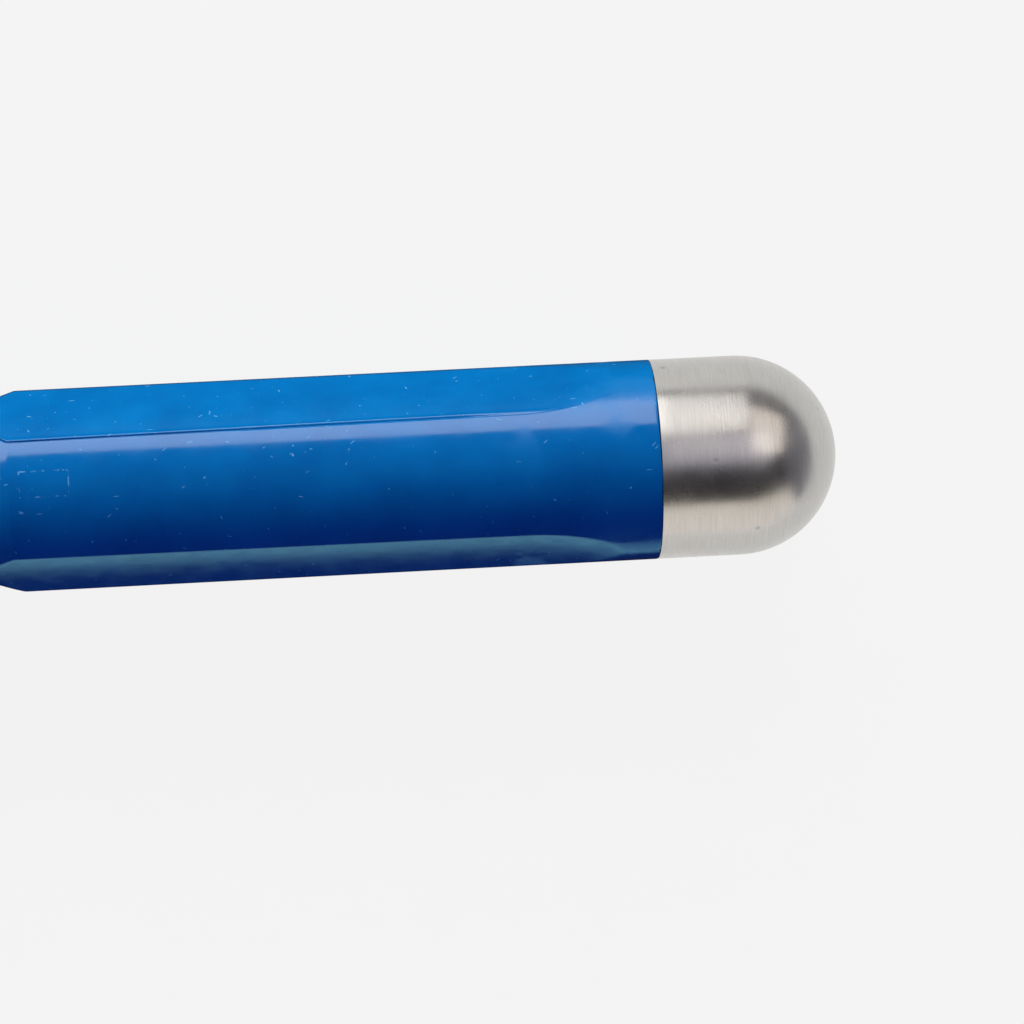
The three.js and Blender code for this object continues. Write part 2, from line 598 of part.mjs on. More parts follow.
const heaterLead = (side) => lead([
  [20.4, side * 0.7, 2.1], [22.4, side * 0.75, 3], [25.5, side * 0.8, 3.8], [32, side * 0.8, 3.9],
  [52, side * 0.8, 4], [58, side * 0.8, BOARD_LEAD_Z], [60.4, side * 0.8, BOARD_LEAD_Z],
], 20);

const thermistorLead = () => lead([
  [22.6, 2.15, 0], [24.4, 2.4, 1.6], [27, 2.2, 3.6], [33, 2, 3.85], [52, 2, 3.9],
  [58, 2, BOARD_LEAD_Z], [60.4, 2, BOARD_LEAD_Z],
], 20);

const motorLeadStarts = {
  1: [[147.1, -2.5, 1.7], [147.4, -2.2, 3.2], [145.4, -1.6, LEAD_Z]],
  2: [[147.1, -2.5, -1.7], [147.9, -1.1, -0.9], [147.9, -0.5, 2.6], [145.4, -0.6, LEAD_Z]],
};

const motorLead = (number) => {
  const y = number === 1 ? -1.6 : -0.6;
  return lead([
    ...motorLeadStarts[number], [136, y, LEAD_Z], [120, y, LEAD_Z], [104, y, LEAD_Z], [98.4, y * 1.2, 4.5],
    [94.6, number === 1 ? -4 : -3.1, BOARD_LEAD_Z + 0.1], [91, number === 1 ? -4 : -3.1, BOARD_LEAD_Z],
  ], 34);
};

const powerLead = (number) => {
  const y = number === 1 ? 0.5 : 1.5;
  return lead([
    [148.4, y, 2.6], [147.4, y, 3.6], [145, y, LEAD_Z], [136, y, LEAD_Z], [120, y, LEAD_Z],
    [104, y, LEAD_Z], [98.4, y * 1.2, 4.5], [94.6, number === 1 ? 3.1 : 4, BOARD_LEAD_Z + 0.1],
    [91, number === 1 ? 3.1 : 4, BOARD_LEAD_Z],
  ], 34);
};

// ---- assembly ----

const pieces = [
  ['nozzle', 'brass', nozzle()],
  ['heater_barrel', 'steel', pipe(NOZZLE_REAR_X + CLEAR, BARREL_REAR_X, 1.6, CHANNEL_R)],
  ['heater_sleeve', 'ceramic', pipe(10, 20, 2.4, 1.7)],
  ['thermistor', 'ceramic', thermistor()],
  ['insulation_sleeve', 'glass_fibre', pipe(9.6, 19.8, 2.95, 2.6)],
  ['heat_break', 'steel', pipe(BARREL_REAR_X + CLEAR, SINK_X - CLEAR, 1.3, CHANNEL_R)],
  ['heat_sink', 'sink_aluminium', heatSink()],
  ['front_guide_tube', 'ptfe', pipe(SINK_REAR_X - 3.8, FRAME_FRONT_X - CLEAR, TUBE_R, TUBE_BORE_R)],
  ['rear_guide_tube', 'ptfe', rearGuideTube()],
  ['nose_cowl', 'nose_resin', noseCowl()],
  ['front_barrel', 'blue_abs', frontBarrel()],
  ['grip_sleeve', 'soft_grip', gripSleeve()],
  ['neck_ring', 'brushed_aluminium', neckRing()],
  ['rear_barrel', 'blue_abs', rearBarrel()],
  ['inlet_plug', 'black_resin', inletPlug()],
  ['cap_seal', 'seal_rubber', capSeal()],
  ['inlet_bushing', 'brass', inletBushing()],
  ['end_cap', 'brushed_aluminium', endCap()],
  ['socket_shell', 'steel', socketShell()],
  ['socket_tongue', 'black_resin', socketTongue()],
  ['socket_board', 'board_green', socketBoard()],
  ['drive_frame', 'black_resin', driveFrame()],
  ['feed_screw', 'steel', feedScrew()],
  ['screw_bush', 'brass', pipe(FRAME_FRONT_X + CLEAR, BEARING_X, BUSH_R, SHAFT_R + 0.1, MOTOR_Y)],
  ['gearbox_case', 'brass', gearbox()],
  ['motor_can', 'steel', motorCan()],
  ['motor_end_bell', 'black_resin', motorBell()],
  ['idler_arm', 'black_resin', idlerArm()],
  ['idler_roller', 'steel', idlerRoller()],
  ['idler_axle', 'steel', post(ROLLER_X, ROLLER_Y, -2.4, 2.4, 0.5, 12)],
  ['idler_pivot_pin', 'steel', post(PIVOT_X, PIVOT_Y, RAIL_TOP + CLEAR, 2.7, 0.5, 12)],
  ['idler_spring', 'steel', idlerSpring()],
  ['board_tray', 'black_resin', boardTray()],
  ['circuit_board', 'board_green', circuitBoard()],
  ['controller_chip', 'chip_black', chip(70, 4, 4, 0.9)],
  ['driver_chip', 'chip_black', chip(80, 3, 3, 0.8)],
  ['feed_switch', 'black_resin', tactSwitch(FEED_X)],
  ['retract_switch', 'black_resin', tactSwitch(RETRACT_X)],
  ['feed_plunger', 'button_resin', switchPlunger(FEED_X)],
  ['retract_plunger', 'button_resin', switchPlunger(RETRACT_X)],
  ['feed_button', 'button_resin', pushButton(FEED_X, FEED_LENGTH)],
  ['retract_button', 'button_resin', pushButton(RETRACT_X, RETRACT_LENGTH)],
  ['speed_knob', 'button_resin', speedKnob()],
  ['slide_pot', 'steel', slidePot()],
  ['slide_pot_lever', 'black_resin', potLever()],
  ['status_light', 'ceramic', statusLight()],
  ['light_pipe', 'light_pipe', lightPipe()],
  ['thermistor_lead', 'lead_black', thermistorLead()],
];
for (const side of [1, 2]) {
  const sign = side === 1 ? -1 : 1;
  const colour = side === 1 ? 'lead_red' : 'lead_black';
  pieces.push(
    [`motor_terminal_${side}`, 'brass', motorTerminal(-sign)],
    [`motor_screw_${side}`, 'steel', motorScrew(sign)],
    [`board_screw_${side}`, 'steel', boardScrew(sign)],
    [`heater_lead_${side}`, colour, heaterLead(sign)],
    [`motor_lead_${side}`, colour, motorLead(side)],
    [`power_lead_${side}`, colour, powerLead(side)],
  );
}

function meshOf([name, finish, shape]) {
  const { vertProperties, triVerts } = shape.getMesh();
  const geometry = new THREE.BufferGeometry();
  geometry.setAttribute('position', new THREE.BufferAttribute(vertProperties, 3));
  geometry.setIndex(new THREE.BufferAttribute(triVerts, 1));
  geometry.computeVertexNormals();
  const [color, roughness, metalness] = finishes[finish];
  const material = new THREE.MeshStandardMaterial({ color, roughness, metalness });
  const mesh = new THREE.Mesh(geometry, material);
  mesh.name = name;
  return mesh;
}

// The pen rests on the flat to one side of the buttons: the origin is under its middle.
const pen = new THREE.Group();
pen.add(...pieces.map(meshOf));
pen.rotation.x = THREE.MathUtils.degToRad(180 / FLATS);
pen.position.set(-LENGTH / 2, 0, BODY_R);

const part = new THREE.Group();
part.add(pen);
export default part;
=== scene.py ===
import json
import math
from itertools import accumulate
import bmesh
import bpy
from mathutils import Matrix, Vector, noise


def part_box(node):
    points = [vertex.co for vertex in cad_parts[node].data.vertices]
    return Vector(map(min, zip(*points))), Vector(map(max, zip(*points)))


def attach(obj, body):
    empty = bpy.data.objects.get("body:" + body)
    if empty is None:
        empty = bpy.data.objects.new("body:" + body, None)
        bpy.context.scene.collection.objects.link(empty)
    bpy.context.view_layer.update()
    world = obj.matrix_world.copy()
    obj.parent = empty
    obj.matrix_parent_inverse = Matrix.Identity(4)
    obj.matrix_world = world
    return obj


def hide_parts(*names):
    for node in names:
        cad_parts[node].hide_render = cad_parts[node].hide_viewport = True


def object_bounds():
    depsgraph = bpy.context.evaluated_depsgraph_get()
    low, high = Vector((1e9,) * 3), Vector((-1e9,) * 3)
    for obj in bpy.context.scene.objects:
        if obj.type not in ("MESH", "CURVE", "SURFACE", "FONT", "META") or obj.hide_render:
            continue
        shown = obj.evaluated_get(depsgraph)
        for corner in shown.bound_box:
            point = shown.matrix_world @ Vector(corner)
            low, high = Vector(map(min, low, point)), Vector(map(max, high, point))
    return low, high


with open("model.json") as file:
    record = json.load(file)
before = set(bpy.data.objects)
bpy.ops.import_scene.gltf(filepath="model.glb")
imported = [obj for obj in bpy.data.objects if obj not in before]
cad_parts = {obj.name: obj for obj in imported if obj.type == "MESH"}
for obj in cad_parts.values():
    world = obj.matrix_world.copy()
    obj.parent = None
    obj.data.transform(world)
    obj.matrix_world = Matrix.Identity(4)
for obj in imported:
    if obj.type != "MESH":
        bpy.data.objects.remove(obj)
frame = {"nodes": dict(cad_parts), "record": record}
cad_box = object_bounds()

# ---- Camera ----
# A long lens nearly overhead, leaning a little to the far side of the pen and turned so that the pen
# runs up to the right, with its domed end a touch farther away.
MM = 0.001
cap_low, cap_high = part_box("end_cap")
BODY_R = (cap_high.z - cap_low.z) / 2
AXIS = Vector((0, 0, cap_low.z + BODY_R))  # a point on the pen's own axis
dome_centre = Vector((cap_high.x - BODY_R, 0, AXIS.z))
LEAN, TURN, ROLL = math.radians(7), math.radians(2.8), math.radians(2.95)
DOME_DEPTH = 236.4 * MM
DOME_RIGHT, DOME_UP = 0.07595, 0.01935  # where the dome sits, as slopes from the line of sight

overhead = Vector((0, math.sin(LEAN), math.cos(LEAN)))
sight = Vector((math.sin(TURN), 0, 0)) - overhead * math.cos(TURN)
level = (Vector((1, 0, 0)) - sight * sight.x).normalized()
square = level.cross(sight)
right = level * math.cos(ROLL) - square * math.sin(ROLL)
up = level * math.sin(ROLL) + square * math.cos(ROLL)
place = dome_centre - (sight + right * DOME_RIGHT + up * DOME_UP) * DOME_DEPTH
lens = bpy.data.cameras.new("camera")
lens.sensor_width = 36
lens.lens = 103.36
lens.clip_start = 0.01
camera = bpy.data.objects.new("camera", lens)
camera.matrix_world = Matrix.Translation(place) @ Matrix((right, up, -sight)).transposed().to_4x4()
bpy.context.scene.collection.objects.link(camera)
bpy.context.scene.camera = camera
bpy.context.scene.view_settings.view_transform = "Standard"


# ---- Floor and light ----
# A pale matt table top that is nearly self-lit, soft panels round the pen, most of them on the far
# side, and a dim plain room.
def linear(hex_colour):
    """An sRGB hex colour as the linear numbers that the shaders use"""
    parts = [int(hex_colour[i:i + 2], 16) / 255 for i in (1, 3, 5)]
    return tuple(p / 12.92 if p <= 0.04045 else ((p + 0.055) / 1.055) ** 2.4 for p in parts) + (1,)


def wire(tree, node, sockets):
    """Links each value that is a socket to the node's socket of that name, and sets the others on it"""
    for name, value in sockets.items():
        if isinstance(value, bpy.types.NodeSocket):
            tree.links.new(value, node.inputs[name])
        else:
            node.inputs[name].default_value = value


def add(tree, kind, sockets=None, **settings):
    """Adds a node: settings named after a property or a socket, then its sockets as above"""
    made = tree.nodes.new(kind)
    for name, value in settings.items():
        if hasattr(made, name):
            setattr(made, name, value)
        else:
            made.inputs[name.replace("_", " ")].default_value = value
    wire(tree, made, sockets or {})
    return made


def ramp(tree, source, stops):
    """A colour ramp through (place, linear colour) stops"""
    made = add(tree, "ShaderNodeValToRGB", {"Fac": source})
    marks = made.color_ramp.elements
    while len(marks) < len(stops):
        marks.new(0.5)
    for mark, (where, colour) in zip(marks, stops):
        mark.position = where
        mark.color = colour if isinstance(colour, tuple) else (colour, colour, colour, 1)
    return made.outputs["Color"]


def material(name):
    """A new material: its tree and its shader"""
    made = bpy.data.materials.new(name)
    made.use_nodes = True
    return made, made.node_tree, made.node_tree.nodes["Principled BSDF"]


FLOOR_SIZE = 4
paper, tree, shader = material("pale_table_top")
grain = add(tree, "ShaderNodeTexNoise", Scale=900, Detail=3)
tint = ramp(tree, grain.outputs["Fac"], [(0.3, linear("#2c2c2c")), (0.7, linear("#303030"))])
wire(tree, shader, {"Base Color": tint, "Roughness": 0.9, "Specular IOR Level": 0.1,
                    "Emission Color": linear("#f3f3f3"), "Emission Strength": 0.975})
table = bmesh.new()
bmesh.ops.create_grid(table, x_segments=1, y_segments=1, size=FLOOR_SIZE / 2)
floor_mesh = bpy.data.meshes.new("table_top")
table.to_mesh(floor_mesh)
floor_mesh.materials.append(paper)
floor = bpy.data.objects.new("table_top", floor_mesh)
floor.location.z = cad_box[0][2]
bpy.context.scene.collection.objects.link(floor)


# The bare metal, which would glare, has dimmer panels of its own, and it alone takes the glow of the
# table top. The rest reflects a window and two cards on the table and is shaded by a lamp. The shade
# of the blue barrels is filled in with blue, and that of the other pieces with white.
bare_metal, all_but_metal, barrels, neither = [
    bpy.data.collections.new(name) for name in ("bare_metal", "all_but_metal", "barrels", "neither")]
floor.light_linking.receiver_collection = bare_metal
PANEL_AWAY = 0.9  # from the pen to each panel that isn't on the table


def panel(name, radiance, place, tilt, wide, tall, colour, lights, gloss, shading):
    """A flat rectangle of soft light, tilted from facing straight down, for the pieces in a collection.
    It adds to their gloss, to their shading, or to both."""
    lamp = bpy.data.lights.new(name, "AREA")
    lamp.shape = "RECTANGLE"
    lamp.size, lamp.size_y = wide, tall
    lamp.energy, lamp.color = radiance * math.pi * wide * tall, linear(colour)[:3]
    made = bpy.data.objects.new(name, lamp)
    made.location, made.rotation_euler.x = place, tilt
    made.visible_camera, made.visible_glossy, made.visible_diffuse = False, gloss, shading
    made.light_linking.receiver_collection = lights
    bpy.context.scene.collection.objects.link(made)


for name, radiance, x, degrees, wide, tall, colour, lights, gloss, shading in (
        # name, radiance, metres along the pen, degrees from overhead towards the far side, size
        ("window_gloss", 8.4, -0.35, 63.5, 1.1, 0.54, "#fffdfa", all_but_metal, True, False),
        ("lamp", 10.4, -0.2, 72.5, 1.1, 0.62, "#f3fff6", all_but_metal, False, True),
        ("blue_fill", 0.66, 0, -15, 1.5, 1.2, "#0a90ff", barrels, False, True),
        ("near_blue_fill", 1.0, 0, -88, 1.5, 0.5, "#1890ff", barrels, False, True),
        ("ceiling", 0.7, 0, -15, 1.5, 1.2, "#fffaf2", neither, True, True),
        ("near_wall", 1.4, 0, -80, 1.5, 0.7, "#fff8ee", neither, True, True),
        ("window_on_metal", 2.0, -0.35, 57.5, 1.1, 0.78, "#fffdfa", bare_metal, True, True),
        ("curtain_on_metal", 1.1, 0.72, 34, 0.9, 0.95, "#fff4e8", bare_metal, True, True),
        ("ceiling_on_metal", 0.5, 0, 13, 1.5, 0.56, "#f0eeff", bare_metal, True, True),
        ("near_wall_on_metal", 1.05, 0, -71.5, 2.4, 0.76, "#fff8ec", bare_metal, True, True)):
    a = math.radians(degrees)
    place = (x, PANEL_AWAY * math.sin(a), PANEL_AWAY * math.cos(a))
    panel(name, radiance, place, -a, wide, tall, colour, lights, gloss, shading)
CARD_HEIGHT, CARD_WIDE = 0.0008, 0.22
for name, radiance, y0, y1, colour in (("near_card", 2.3, -0.06, -0.0212, "#8fe0ea"),
                                       ("far_card", 0.8, 0.034, 0.09, "#d8fff4")):
    place = (0, (y0 + y1) / 2, CARD_HEIGHT)
    panel(name, radiance, place, math.pi, CARD_WIDE, y1 - y0, colour, all_but_metal, True, False)

room = bpy.data.worlds.new("plain_room")
room.use_nodes = True
bpy.context.scene.world = room
tree = room.node_tree
where = add(tree, "ShaderNodeTexCoord")
split = add(tree, "ShaderNodeSeparateXYZ", {"Vector": where.outputs["Generated"]})
angle = add(tree, "ShaderNodeMath", {0: split.outputs["Y"], 1: split.outputs["Z"]}, operation="ARCTAN2")
turn = add(tree, "ShaderNodeMapRange", {"Value": angle.outputs[0]}, From_Min=-math.pi, From_Max=math.pi)


def at(degrees):
    """A place on the ramp for an angle from straight up: plus is the far side, minus the near side"""
    return 0.5 + degrees / 360


light = ramp(tree, turn.outputs[0], [(at(degrees), (*colour, 1)) for degrees, colour in (
    (-80, (0.05, 0.06, 0.12)), (-47, (0.03, 0.028, 0.03)), (-10, (0.035, 0.036, 0.045)),
    (10, (0.1, 0.1, 0.13)), (80, (0.12, 0.12, 0.14)))])
endways = add(tree, "ShaderNodeMapRange", {"Value": split.outputs["X"]}, From_Min=0.7, From_Max=1.0)
room_light = add(tree, "ShaderNodeMix", {
    "Factor": endways.outputs[0], "A": light, "B": (0.25, 0.25, 0.29, 1)}, data_type="RGBA")
tree.links.new(room_light.outputs["Result"], tree.nodes["Background"].inputs["Color"])


# ---- Rear barrel ----
# The long blue shell behind the neck: glossy injection-moulded ABS, round, with three flats that run
# out just before the metal cap. A fine witness line of the mould follows one edge of the far flat.
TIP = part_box("nozzle")[0].x
FLATS = [math.radians(a) for a in (30, 150, 270)]  # which way the flats face, round the pen
FLAT_FRONT, FLAT_DRAFT = 7.26, 0.1  # millimetres from the axis, and how much farther at the rear
R = BODY_R / MM


def station(node):
    """Where a CAD node starts and ends, in millimetres from the nozzle tip"""
    low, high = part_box(node)
    return (low.x - TIP) / MM, (high.x - TIP) / MM


def spot(x, r, a):
    """A point on the pen: millimetres from the tip and from the axis, and the angle round it"""
    return Vector((TIP + x * MM, r * MM * math.cos(a), AXIS.z + r * MM * math.sin(a)))


def soft_min(a, b, reach):
    """The lesser of two numbers, rounded where they are within reach of each other"""
    near = max(reach - abs(a - b), 0) / reach
    return min(a, b) - near * near * reach / 4


def spread(low, high, count):
    """Even steps from low to high, both included"""
    return [low + (high - low) * i / count for i in range(count + 1)]


def corner(x0, r0, x1, r1, x2, r2, size, steps=4):
    """A small round corner at x1, r1 between the lines from x0, r0 and to x2, r2"""
    a, b, c = Vector((x0, r0)), Vector((x1, r1)), Vector((x2, r2))
    start, end = b + (a - b).normalized() * size, b + (c - b).normalized() * size
    return [tuple(start.lerp(b, t).lerp(b.lerp(end, t), t)) for t in spread(0, 1, steps)]


def skin_over(rings):
    """A closed skin over rings of points. Its UV map is in millimetres, along and round the piece."""
    skin = bmesh.new()
    unwrap = skin.loops.layers.uv.new("along_and_round")
    rows = [[skin.verts.new(p) for p in ring] for ring in rings]
    run = [0]
    for a, b in zip(rings, rings[1:]):
        run.append(run[-1] + max((p - q).length for p, q in zip(a, b)) / MM)
    count = len(rings[0])
    girths = [list(accumulate(((p - q).length / MM for p, q in zip(ring, ring[1:] + ring[:1])),
                              initial=0)) for ring in rings]
    for i in range(len(rows) - 1):
        for j in range(count):
            k = (j + 1) % count
            face = skin.faces.new((rows[i][j], rows[i][k], rows[i + 1][k], rows[i + 1][j]))
            corners = ((i, j), (i, j + 1), (i + 1, j + 1), (i + 1, j))
            for loop, (ring, step) in zip(face.loops, corners):
                loop[unwrap].uv = (run[ring], girths[ring][step])
    bmesh.ops.remove_doubles(skin, verts=skin.verts, dist=0.0004 * MM)
    bmesh.ops.recalc_face_normals(skin, faces=skin.faces)
    return skin


def settle(name, skin, finish, body, stands_for, sharp=32):
    """Makes an object of a finished skin, and says what it rides on and stands for"""
    mesh = bpy.data.meshes.new(name)
    skin.to_mesh(mesh)
    skin.free()
    mesh.materials.append(finish)
    mesh.polygons.foreach_set("use_smooth", [True] * len(mesh.polygons))
    mesh.set_sharp_from_angle(angle=math.radians(sharp))
    made = bpy.data.objects.new(name, mesh)
    bpy.context.scene.collection.objects.link(made)
    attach(made, body)
    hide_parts(*stands_for)
    return made


# Steps from an edge of a flat to the middle of it, or of the round between two: close at the edge
EDGE_STEPS = [0, .008, .016, .025, .035, .05, .075, .11, .16, .23, .32, .43, .55, .68, .84, 1]


def flatted_ring(x, r, flat, soft, groove=0, ridge=0):
    """One ring of a round body with three flats, whose edges are rounded over a soft width. The mould's
    witness line, a fine groove with a ridge beside it, follows one edge of the far flat."""
    ring = []
    half = max(math.acos(min(1, flat / r)), math.radians(2.5))
    for facing in FLATS:
        inside = [-half * (1 - t) for t in EDGE_STEPS[:-1]] + [half * (1 - t) for t in EDGE_STEPS[::-1]]
        rest = [half + (math.radians(60) - half) * t for t in EDGE_STEPS[1:]]
        before = [-a for a in rest[::-1]]
        for a in before + inside + rest[:-1]:
            away = soft_min(r, flat / math.cos(a), soft)
            if facing == FLATS[0]:
                off = (a - half) * r - 0.06
                away += ridge * math.exp(-((off + 0.24) / 0.1) ** 2)
                away -= groove * math.exp(-(off / 0.07) ** 2)
            ring.append(spot(x, away, facing + a))
    return ring


def speck_layer(tree, where, long, short, degrees, size, share):
    """A mask of little marks, each an ellipse a long way along and a short way across, in millimetres"""
    lay = add(tree, "ShaderNodeMapping", {
        "Vector": where, "Rotation": (0, 0, math.radians(degrees)),
        "Scale": (long, short, 1)}, vector_type="TEXTURE")
    cells = add(tree, "ShaderNodeTexVoronoi", {"Vector": lay.outputs[0], "Scale": 1},
                voronoi_dimensions="2D")
    pick = add(tree, "ShaderNodeSeparateColor", {"Color": cells.outputs["Color"]})
    some = add(tree, "ShaderNodeMath", {0: pick.outputs[0], 1: share}, operation="LESS_THAN")
    mark = add(tree, "ShaderNodeMapRange", {"Value": cells.outputs["Distance"]}, From_Min=size,
               From_Max=size * 0.5)
    both = add(tree, "ShaderNodeMath", {0: some.outputs[0], 1: mark.outputs[0]}, operation="MULTIPLY")
    return both.outputs[0]


def strongest(tree, first, second):
    """The greater of two values at each point"""
    return add(tree, "ShaderNodeMath", {0: first, 1: second}, operation="MAXIMUM").outputs[0]


def outline(tree, where, middle, half, line):
    """A mask of the outline of a rectangle, with a middle, half its size and a line in millimetres"""
    for operation, (u, v) in (("SUBTRACT", middle), ("ABSOLUTE", (0, 0)), ("SUBTRACT", half)):
        moved = add(tree, "ShaderNodeVectorMath", {0: where, 1: (u, v, 0)}, operation=operation)
        where = moved.outputs[0]
    parts = add(tree, "ShaderNodeSeparateXYZ", {"Vector": where})
    edge = strongest(tree, parts.outputs[0], parts.outputs[1])
    off = add(tree, "ShaderNodeMath", {0: edge}, operation="ABSOLUTE")
    shown = add(tree, "ShaderNodeMapRange", {"Value": off.outputs[0]}, From_Min=line, From_Max=line / 3)
    return shown.outputs[0]


# Moulded ABS, polished by the mould: a deep clear blue with a hard gloss. Handling has left lint,
# short pale scratches, a faint broken rectangle near the neck, and duller patches near the cap.
blue, tree, shader = material("moulded_blue_abs")
unwrapped = add(tree, "ShaderNodeUVMap", uv_map="along_and_round").outputs["UV"]
lint = add(tree, "ShaderNodeTexNoise", {"Vector": unwrapped}, Scale=1.9, Detail=5, Roughness=0.62)
lint = add(tree, "ShaderNodeMapRange", {"Value": lint.outputs["Fac"]}, From_Min=0.67, From_Max=0.72)
marks = lint.outputs[0]
SCRATCH_SHARE = 0.004
for long, short, degrees, size in ((1.6, 0.3, 14, 0.14), (1.5, 0.28, 66, 0.14), (2.2, 0.3, -40, 0.12),
                                   (3, 0.26, -3, 0.1)):
    scratches = speck_layer(tree, unwrapped, long, short, degrees, size, SCRATCH_SHARE)
    marks = strongest(tree, marks, scratches)
breaks = add(tree, "ShaderNodeTexNoise", {"Vector": unwrapped}, Scale=1.1, Detail=4, Roughness=0.7)
whole_parts = ramp(tree, breaks.outputs["Fac"], [(0.5, 0), (0.6, 0.7)])
rectangle = outline(tree, unwrapped, (7.4, 15.3), (1.9, 1.0), 0.08)
rubbed_in = add(tree, "ShaderNodeMath", {0: rectangle, 1: whole_parts}, operation="MULTIPLY")
marks = strongest(tree, marks, rubbed_in.outputs[0])
clouds = add(tree, "ShaderNodeTexNoise", {"Vector": unwrapped}, Scale=0.16, Detail=4, Roughness=0.6)
body_tint = ramp(tree, clouds.outputs["Fac"], [(0.35, linear("#00528f")), (0.65, linear("#005c9a"))])
worn = add(tree, "ShaderNodeMix", {
    "Factor": marks, "A": body_tint, "B": linear("#5f93b8")}, data_type="RGBA")
haze = add(tree, "ShaderNodeTexNoise", {"Vector": unwrapped}, Scale=0.5, Detail=6, Roughness=0.7)
sheen = ramp(tree, haze.outputs["Fac"], [(0.35, 0.1), (0.75, 0.2)])
along = add(tree, "ShaderNodeSeparateXYZ", {"Vector": unwrapped}).outputs["X"]
rear_half = add(tree, "ShaderNodeMapRange", {"Value": along}, From_Min=36, From_Max=44)
patches = ramp(tree, clouds.outputs["Fac"], [(0.42, 0), (0.6, 0.27)])
dulled = add(tree, "ShaderNodeMath", {0: rear_half.outputs[0], 1: patches}, operation="MULTIPLY")
rougher = strongest(tree, strongest(tree, sheen, dulled.outputs[0]), marks)
waves = add(tree, "ShaderNodeTexNoise", {"Vector": unwrapped}, Scale=1.2, Detail=3)
relief = add(tree, "ShaderNodeBump", {"Height": waves.outputs["Fac"]}, Strength=0.1, Distance=0.02 * MM)
wire(tree, shader, {"Base Color": worn.outputs["Result"], "Roughness": rougher,
                    "Normal": relief.outputs[0], "IOR": 1.5, "Specular IOR Level": 0.22})


REAR_BORE, ROUNDED = 6.3, 0.12  # the bore, and the rounded edge at the neck
CONE_R, CONE = 7.03, 3  # the neck end of a barrel, and the length of its cone
RUN_OUT, RUN_OUT_END = 7.8, 2.8  # how long a flat takes to run out, and where it ends before the seam
rear_front, rear_end = station("rear_barrel")
rear_end += 0.09  # its end closes on the cap
shoulder = rear_front + CONE
lift_start = rear_end - RUN_OUT_END - RUN_OUT


def barrel_round(x, front, cone):
    """The round radius of a barrel, with its cone at the neck"""
    return soft_min(R, CONE_R + (x - front) * (R - CONE_R) / cone, 0.05)


def rear_flat(x):
    """From the axis to a flat of the rear barrel"""
    drafted = FLAT_FRONT + FLAT_DRAFT * (x - shoulder) / (lift_start - shoulder)
    lift = max(0, (x - lift_start) / RUN_OUT)
    return drafted + (R - FLAT_FRONT - FLAT_DRAFT) * lift * lift


rings = []
stations = (spread(rear_front + ROUNDED, shoulder - 0.4, 8) + spread(shoulder - 0.35, shoulder + 0.4, 12)
            + spread(shoulder + 1, lift_start - 0.5, 24) + spread(lift_start, rear_end - 0.3, 44))
for a in (0, 0.5, 1):
    x = rear_front + ROUNDED * (1 - math.cos(a * math.pi / 2)) - 0.001
    r = CONE_R - ROUNDED * (1 - math.sin(a * math.pi / 2))
    rings.append(flatted_ring(x, r, rear_flat(x), 0.05))
for x in stations:
    along = (x - rear_front) / (lift_start - rear_front)
    fade = min(1, max(0, (lift_start + 4 - x) / 8), max(0, (x - rear_front - 1) / 2))
    groove, ridge = fade * (0.16 - 0.12 * along), fade * (0.02 + 0.045 * min(1, 1.6 * along))
    rings.append(flatted_ring(x, barrel_round(x, rear_front, CONE), rear_flat(x), 0.08, groove, ridge))
for x, r in corner(rear_end - 1, R, rear_end, R, rear_end, R - 1, 0.05):
    ragged = []
    for point in flatted_ring(x, r, rear_flat(x), 0.05):  # the trimmed end is a little ragged
        nick = noise.noise(point * 2600) * 0.07 + noise.noise(point * 900) * 0.06
        ragged.append(point - Vector(((0.03 + nick * (x > rear_end - 0.05)) * MM, 0, 0)))
    rings.append(ragged)
angles = [math.atan2(p.z - AXIS.z, p.y) for p in rings[0]]
for x in (rear_end - 0.05, rear_end - 1, rear_front + 1, rear_front):
    rings.append([spot(x, REAR_BORE, a) for a in angles])
rings.append(rings[0])
rear_shell = settle("rear_barrel_shell", skin_over(rings), blue, "root", ["rear_barrel"])


# ---- End cap ----
# A domed cap turned from aluminium and pulled over the end of the barrel. It was brushed while it
# spun, so fine lines run round it, and use has left small pits and dents.
def cylinder_coordinates(tree):
    """The object's own coordinates as millimetres along the pen, millimetres out, and turns round it"""
    own = add(tree, "ShaderNodeTexCoord").outputs["Object"]
    parts = add(tree, "ShaderNodeSeparateXYZ", {"Vector": own})
    height = add(tree, "ShaderNodeMath", {0: parts.outputs["Z"], 1: AXIS.z}, operation="SUBTRACT")
    flat = add(tree, "ShaderNodeCombineXYZ", {"Y": parts.outputs["Y"], "Z": height.outputs[0]})
    out = add(tree, "ShaderNodeVectorMath", {0: flat.outputs[0]}, operation="LENGTH")
    round_it = add(tree, "ShaderNodeMath", {
        0: height.outputs[0], 1: parts.outputs["Y"]}, operation="ARCTAN2")
    made = add(tree, "ShaderNodeCombineXYZ", {"X": parts.outputs["X"], "Y": out.outputs["Value"]})
    scaled = add(tree, "ShaderNodeVectorMath", {0: made.outputs[0]}, operation="SCALE", Scale=1 / MM)
    split = add(tree, "ShaderNodeSeparateXYZ", {"Vector": scaled.outputs[0]})
    return split.outputs["X"], split.outputs["Y"], round_it.outputs[0]


